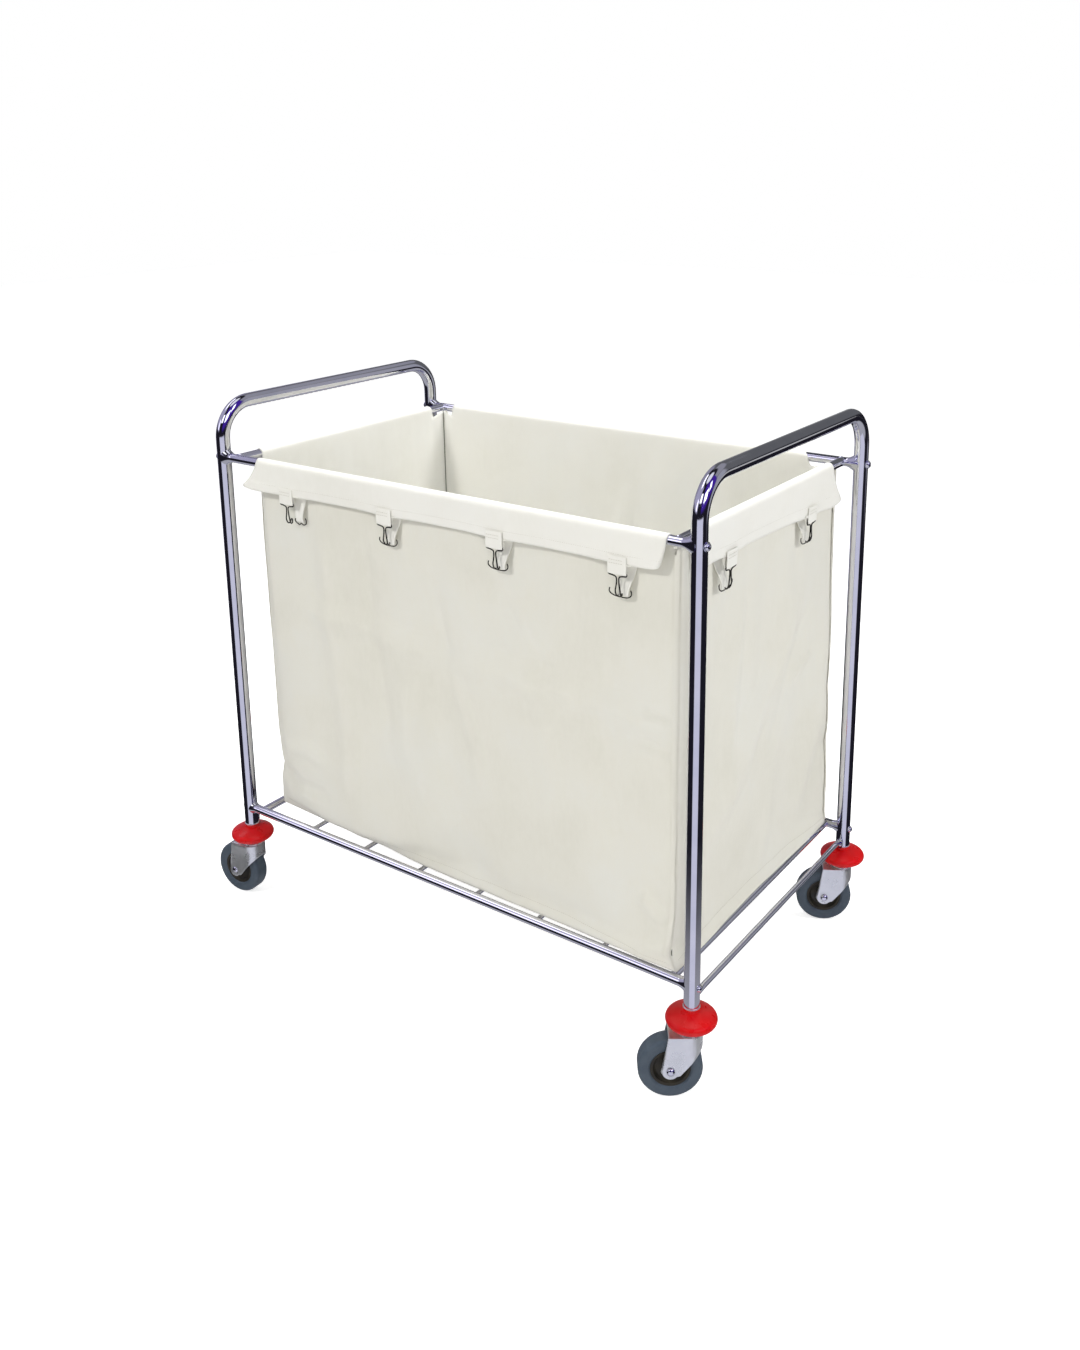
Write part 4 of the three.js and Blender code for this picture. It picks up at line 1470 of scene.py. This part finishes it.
def window(nodes, value, low, high, soft):
    """1 between low and high and 0 outside them, in degrees, with soft edges."""
    rise = nodes.remap(value, low - soft / 2, low + soft / 2, 0, 1, "SMOOTHSTEP")
    fall = nodes.remap(value, high - soft / 2, high + soft / 2, 1, 0, "SMOOTHSTEP")
    if low <= -180:
        rise = 1.0
    if high >= 180:
        fall = 1.0
    return nodes.math("MULTIPLY", rise, fall)


def studio_world():
    """Soft even light for the canvas, white to the camera, and a dark room with bright windows for
    whatever mirrors it."""
    world = bpy.data.worlds.new("studio")
    bpy.context.scene.world = world
    world.use_nodes = True
    world.node_tree.nodes.clear()
    nodes = Nodes(world.node_tree)
    split = nodes.node("SeparateXYZ")
    nodes.link(nodes.coordinates("Generated"), split.inputs["Vector"])
    x, y, z = (split.outputs[axis] for axis in "XYZ")
    azimuth = nodes.math("DEGREES", nodes.math("ARCTAN2", y, x))
    elevation = nodes.math("DEGREES", nodes.math("ARCSINE", z))
    room = nodes.node("CombineColor")
    room.inputs["Red"].default_value = 0.012
    room.inputs["Green"].default_value = 0.011
    room.inputs["Blue"].default_value = 0.018
    seen = room.outputs["Color"]
    for az_low, az_high, el_low, el_high, soft, colour in MIRRORED:
        across = window(nodes, azimuth, az_low, az_high, soft)
        up = window(nodes, elevation, el_low, el_high, soft)
        mix = nodes.node("Mix", data_type="RGBA")
        nodes.link(nodes.math("MULTIPLY", across, up), mix.inputs["Factor"])
        nodes.link(seen, mix.inputs["A"])
        mix.inputs["B"].default_value = (*colour, 1)
        seen = mix.outputs["Result"]
    paths = nodes.node("LightPath")
    soft_light_all_round = nodes.node("Background")
    soft_light_all_round.inputs["Color"].default_value = (1.0, 1.0, 1.0, 1)
    soft_light_all_round.inputs["Strength"].default_value = AMBIENT
    backdrop = nodes.node("Background")
    mirrored = nodes.node("Background")
    nodes.link(seen, mirrored.inputs["Color"])
    shaders = soft_light_all_round.outputs["Background"]
    for ray, shader in (("Is Glossy Ray", mirrored), ("Is Camera Ray", backdrop)):
        mix = nodes.node("MixShader")
        nodes.link(paths.outputs[ray], mix.inputs["Fac"])
        nodes.link(shaders, mix.inputs[1])
        nodes.link(shader.outputs["Background"], mix.inputs[2])
        shaders = mix.outputs["Shader"]
    backdrop.inputs["Color"].default_value = (1, 1, 1, 1)
    output = nodes.node("OutputWorld")
    nodes.link(shaders, output.inputs["Surface"])


def floor():
    """A plain pale floor, wide enough to run out of every view, and white where no shadow falls."""
    shader = Shader("pale_floor")
    shader.set(Base_Color=(0.9, 0.9, 0.9, 1), Roughness=0.9, Emission_Color=(1, 1, 1, 1))
    seen = shader.node("LightPath").outputs["Is Camera Ray"]
    shader.drive(Emission_Strength=shader.math("MULTIPLY", seen, 0.7))
    half = 12
    corners = [(-half, -half, 0), (half, -half, 0), (half, half, 0), (-half, half, 0)]
    plane = mesh_piece("floor", corners, [(0, 1, 2, 3)])
    plane.data.materials.append(shader.material)
    plane.visible_glossy = False


def soft_light(name, position, target, size, power, colour=(1, 1, 1)):
    data = bpy.data.lights.new(name, "AREA")
    data.shape = "RECTANGLE"
    data.size, data.size_y = size
    data.energy = power
    data.color = colour
    lamp = link(bpy.data.objects.new(name, data))
    lamp.location = position
    lamp.rotation_euler = (Vector(target) - Vector(position)).to_track_quat("-Z", "Y").to_euler()


def lights():
    aim = (CENTRE_X, 0, 0.5)
    soft_light("key_light", (-0.9, -3.2, 3.0), aim, (0.4, 0.4), 54, (1, 0.99, 0.97))
    soft_light("fill_light", (2.0, -2.0, 1.1), aim, (0.6, 0.6), 11, (1, 0.99, 0.97))
    soft_light("right_light", (3.2, 0.9, 2.3), aim, (0.5, 0.5), 41, (1, 1, 1))
    soft_light("top_light", (0, 0.2, 3.2), aim, (1.8, 1.8), 60, (0.98, 0.99, 1))
    for lamp in bpy.data.objects:
        if lamp.type == "LIGHT":
            lamp.visible_glossy = False


bpy.context.scene.view_settings.view_transform = "Standard"
camera()
studio_world()
floor()
lights()

CHROME = chrome()
STEEL = plated_steel()
WIRE = hook_wire()

end_frames(CHROME)
for rail_node in ("front_top_rail", "back_top_rail"):
    saddle_rail(rail_node, 14 * MM, 13 * MM, CHROME)
for rail_node in ("front_deck_rail", "back_deck_rail"):
    saddle_rail(rail_node, 11 * MM, 9 * MM, CHROME)
cross_rails(CHROME)
tie_rails(CHROME)
rail_bolts(CHROME)
casters(STEEL, CHROME, red_plastic(), tyre_rubber(), hub_plastic())
CANVAS_CLOTH = canvas("canvas_outside", (0.720, 0.705, 0.620), (0.765, 0.750, 0.670), (0.770, 0.765, 0.705))
# The lining is a paler copy of the same canvas: the cloth's inner face, made paler as painted light, so that the flaps,
# tabs, straps and the bag's inside come out brighter than the outer walls.
CANVAS_LINING_PAINTED_LIGHT = canvas("canvas_inside", (0.815, 0.805, 0.740), (0.855, 0.845, 0.790), (0.860, 0.857, 0.815))
THREAD = sewing_thread()
BAG = bag(CANVAS_CLOTH, CANVAS_LINING_PAINTED_LIGHT)
ON_BAG = Surface(BAG)
# Tabs and straps are made of the paler lining, which is partly painted light.
SEWN = fastenings(ON_BAG, CANVAS_LINING_PAINTED_LIGHT, THREAD, WIRE)
SEWN += corner_bands(ON_BAG, CANVAS_CLOTH)
# Thin threads up the inner corners, dark as painted shade.
SEWN += inner_seams_painted_shade(ON_BAG, overlock_thread())
SEWN.append(hem_stitching(ON_BAG, THREAD))
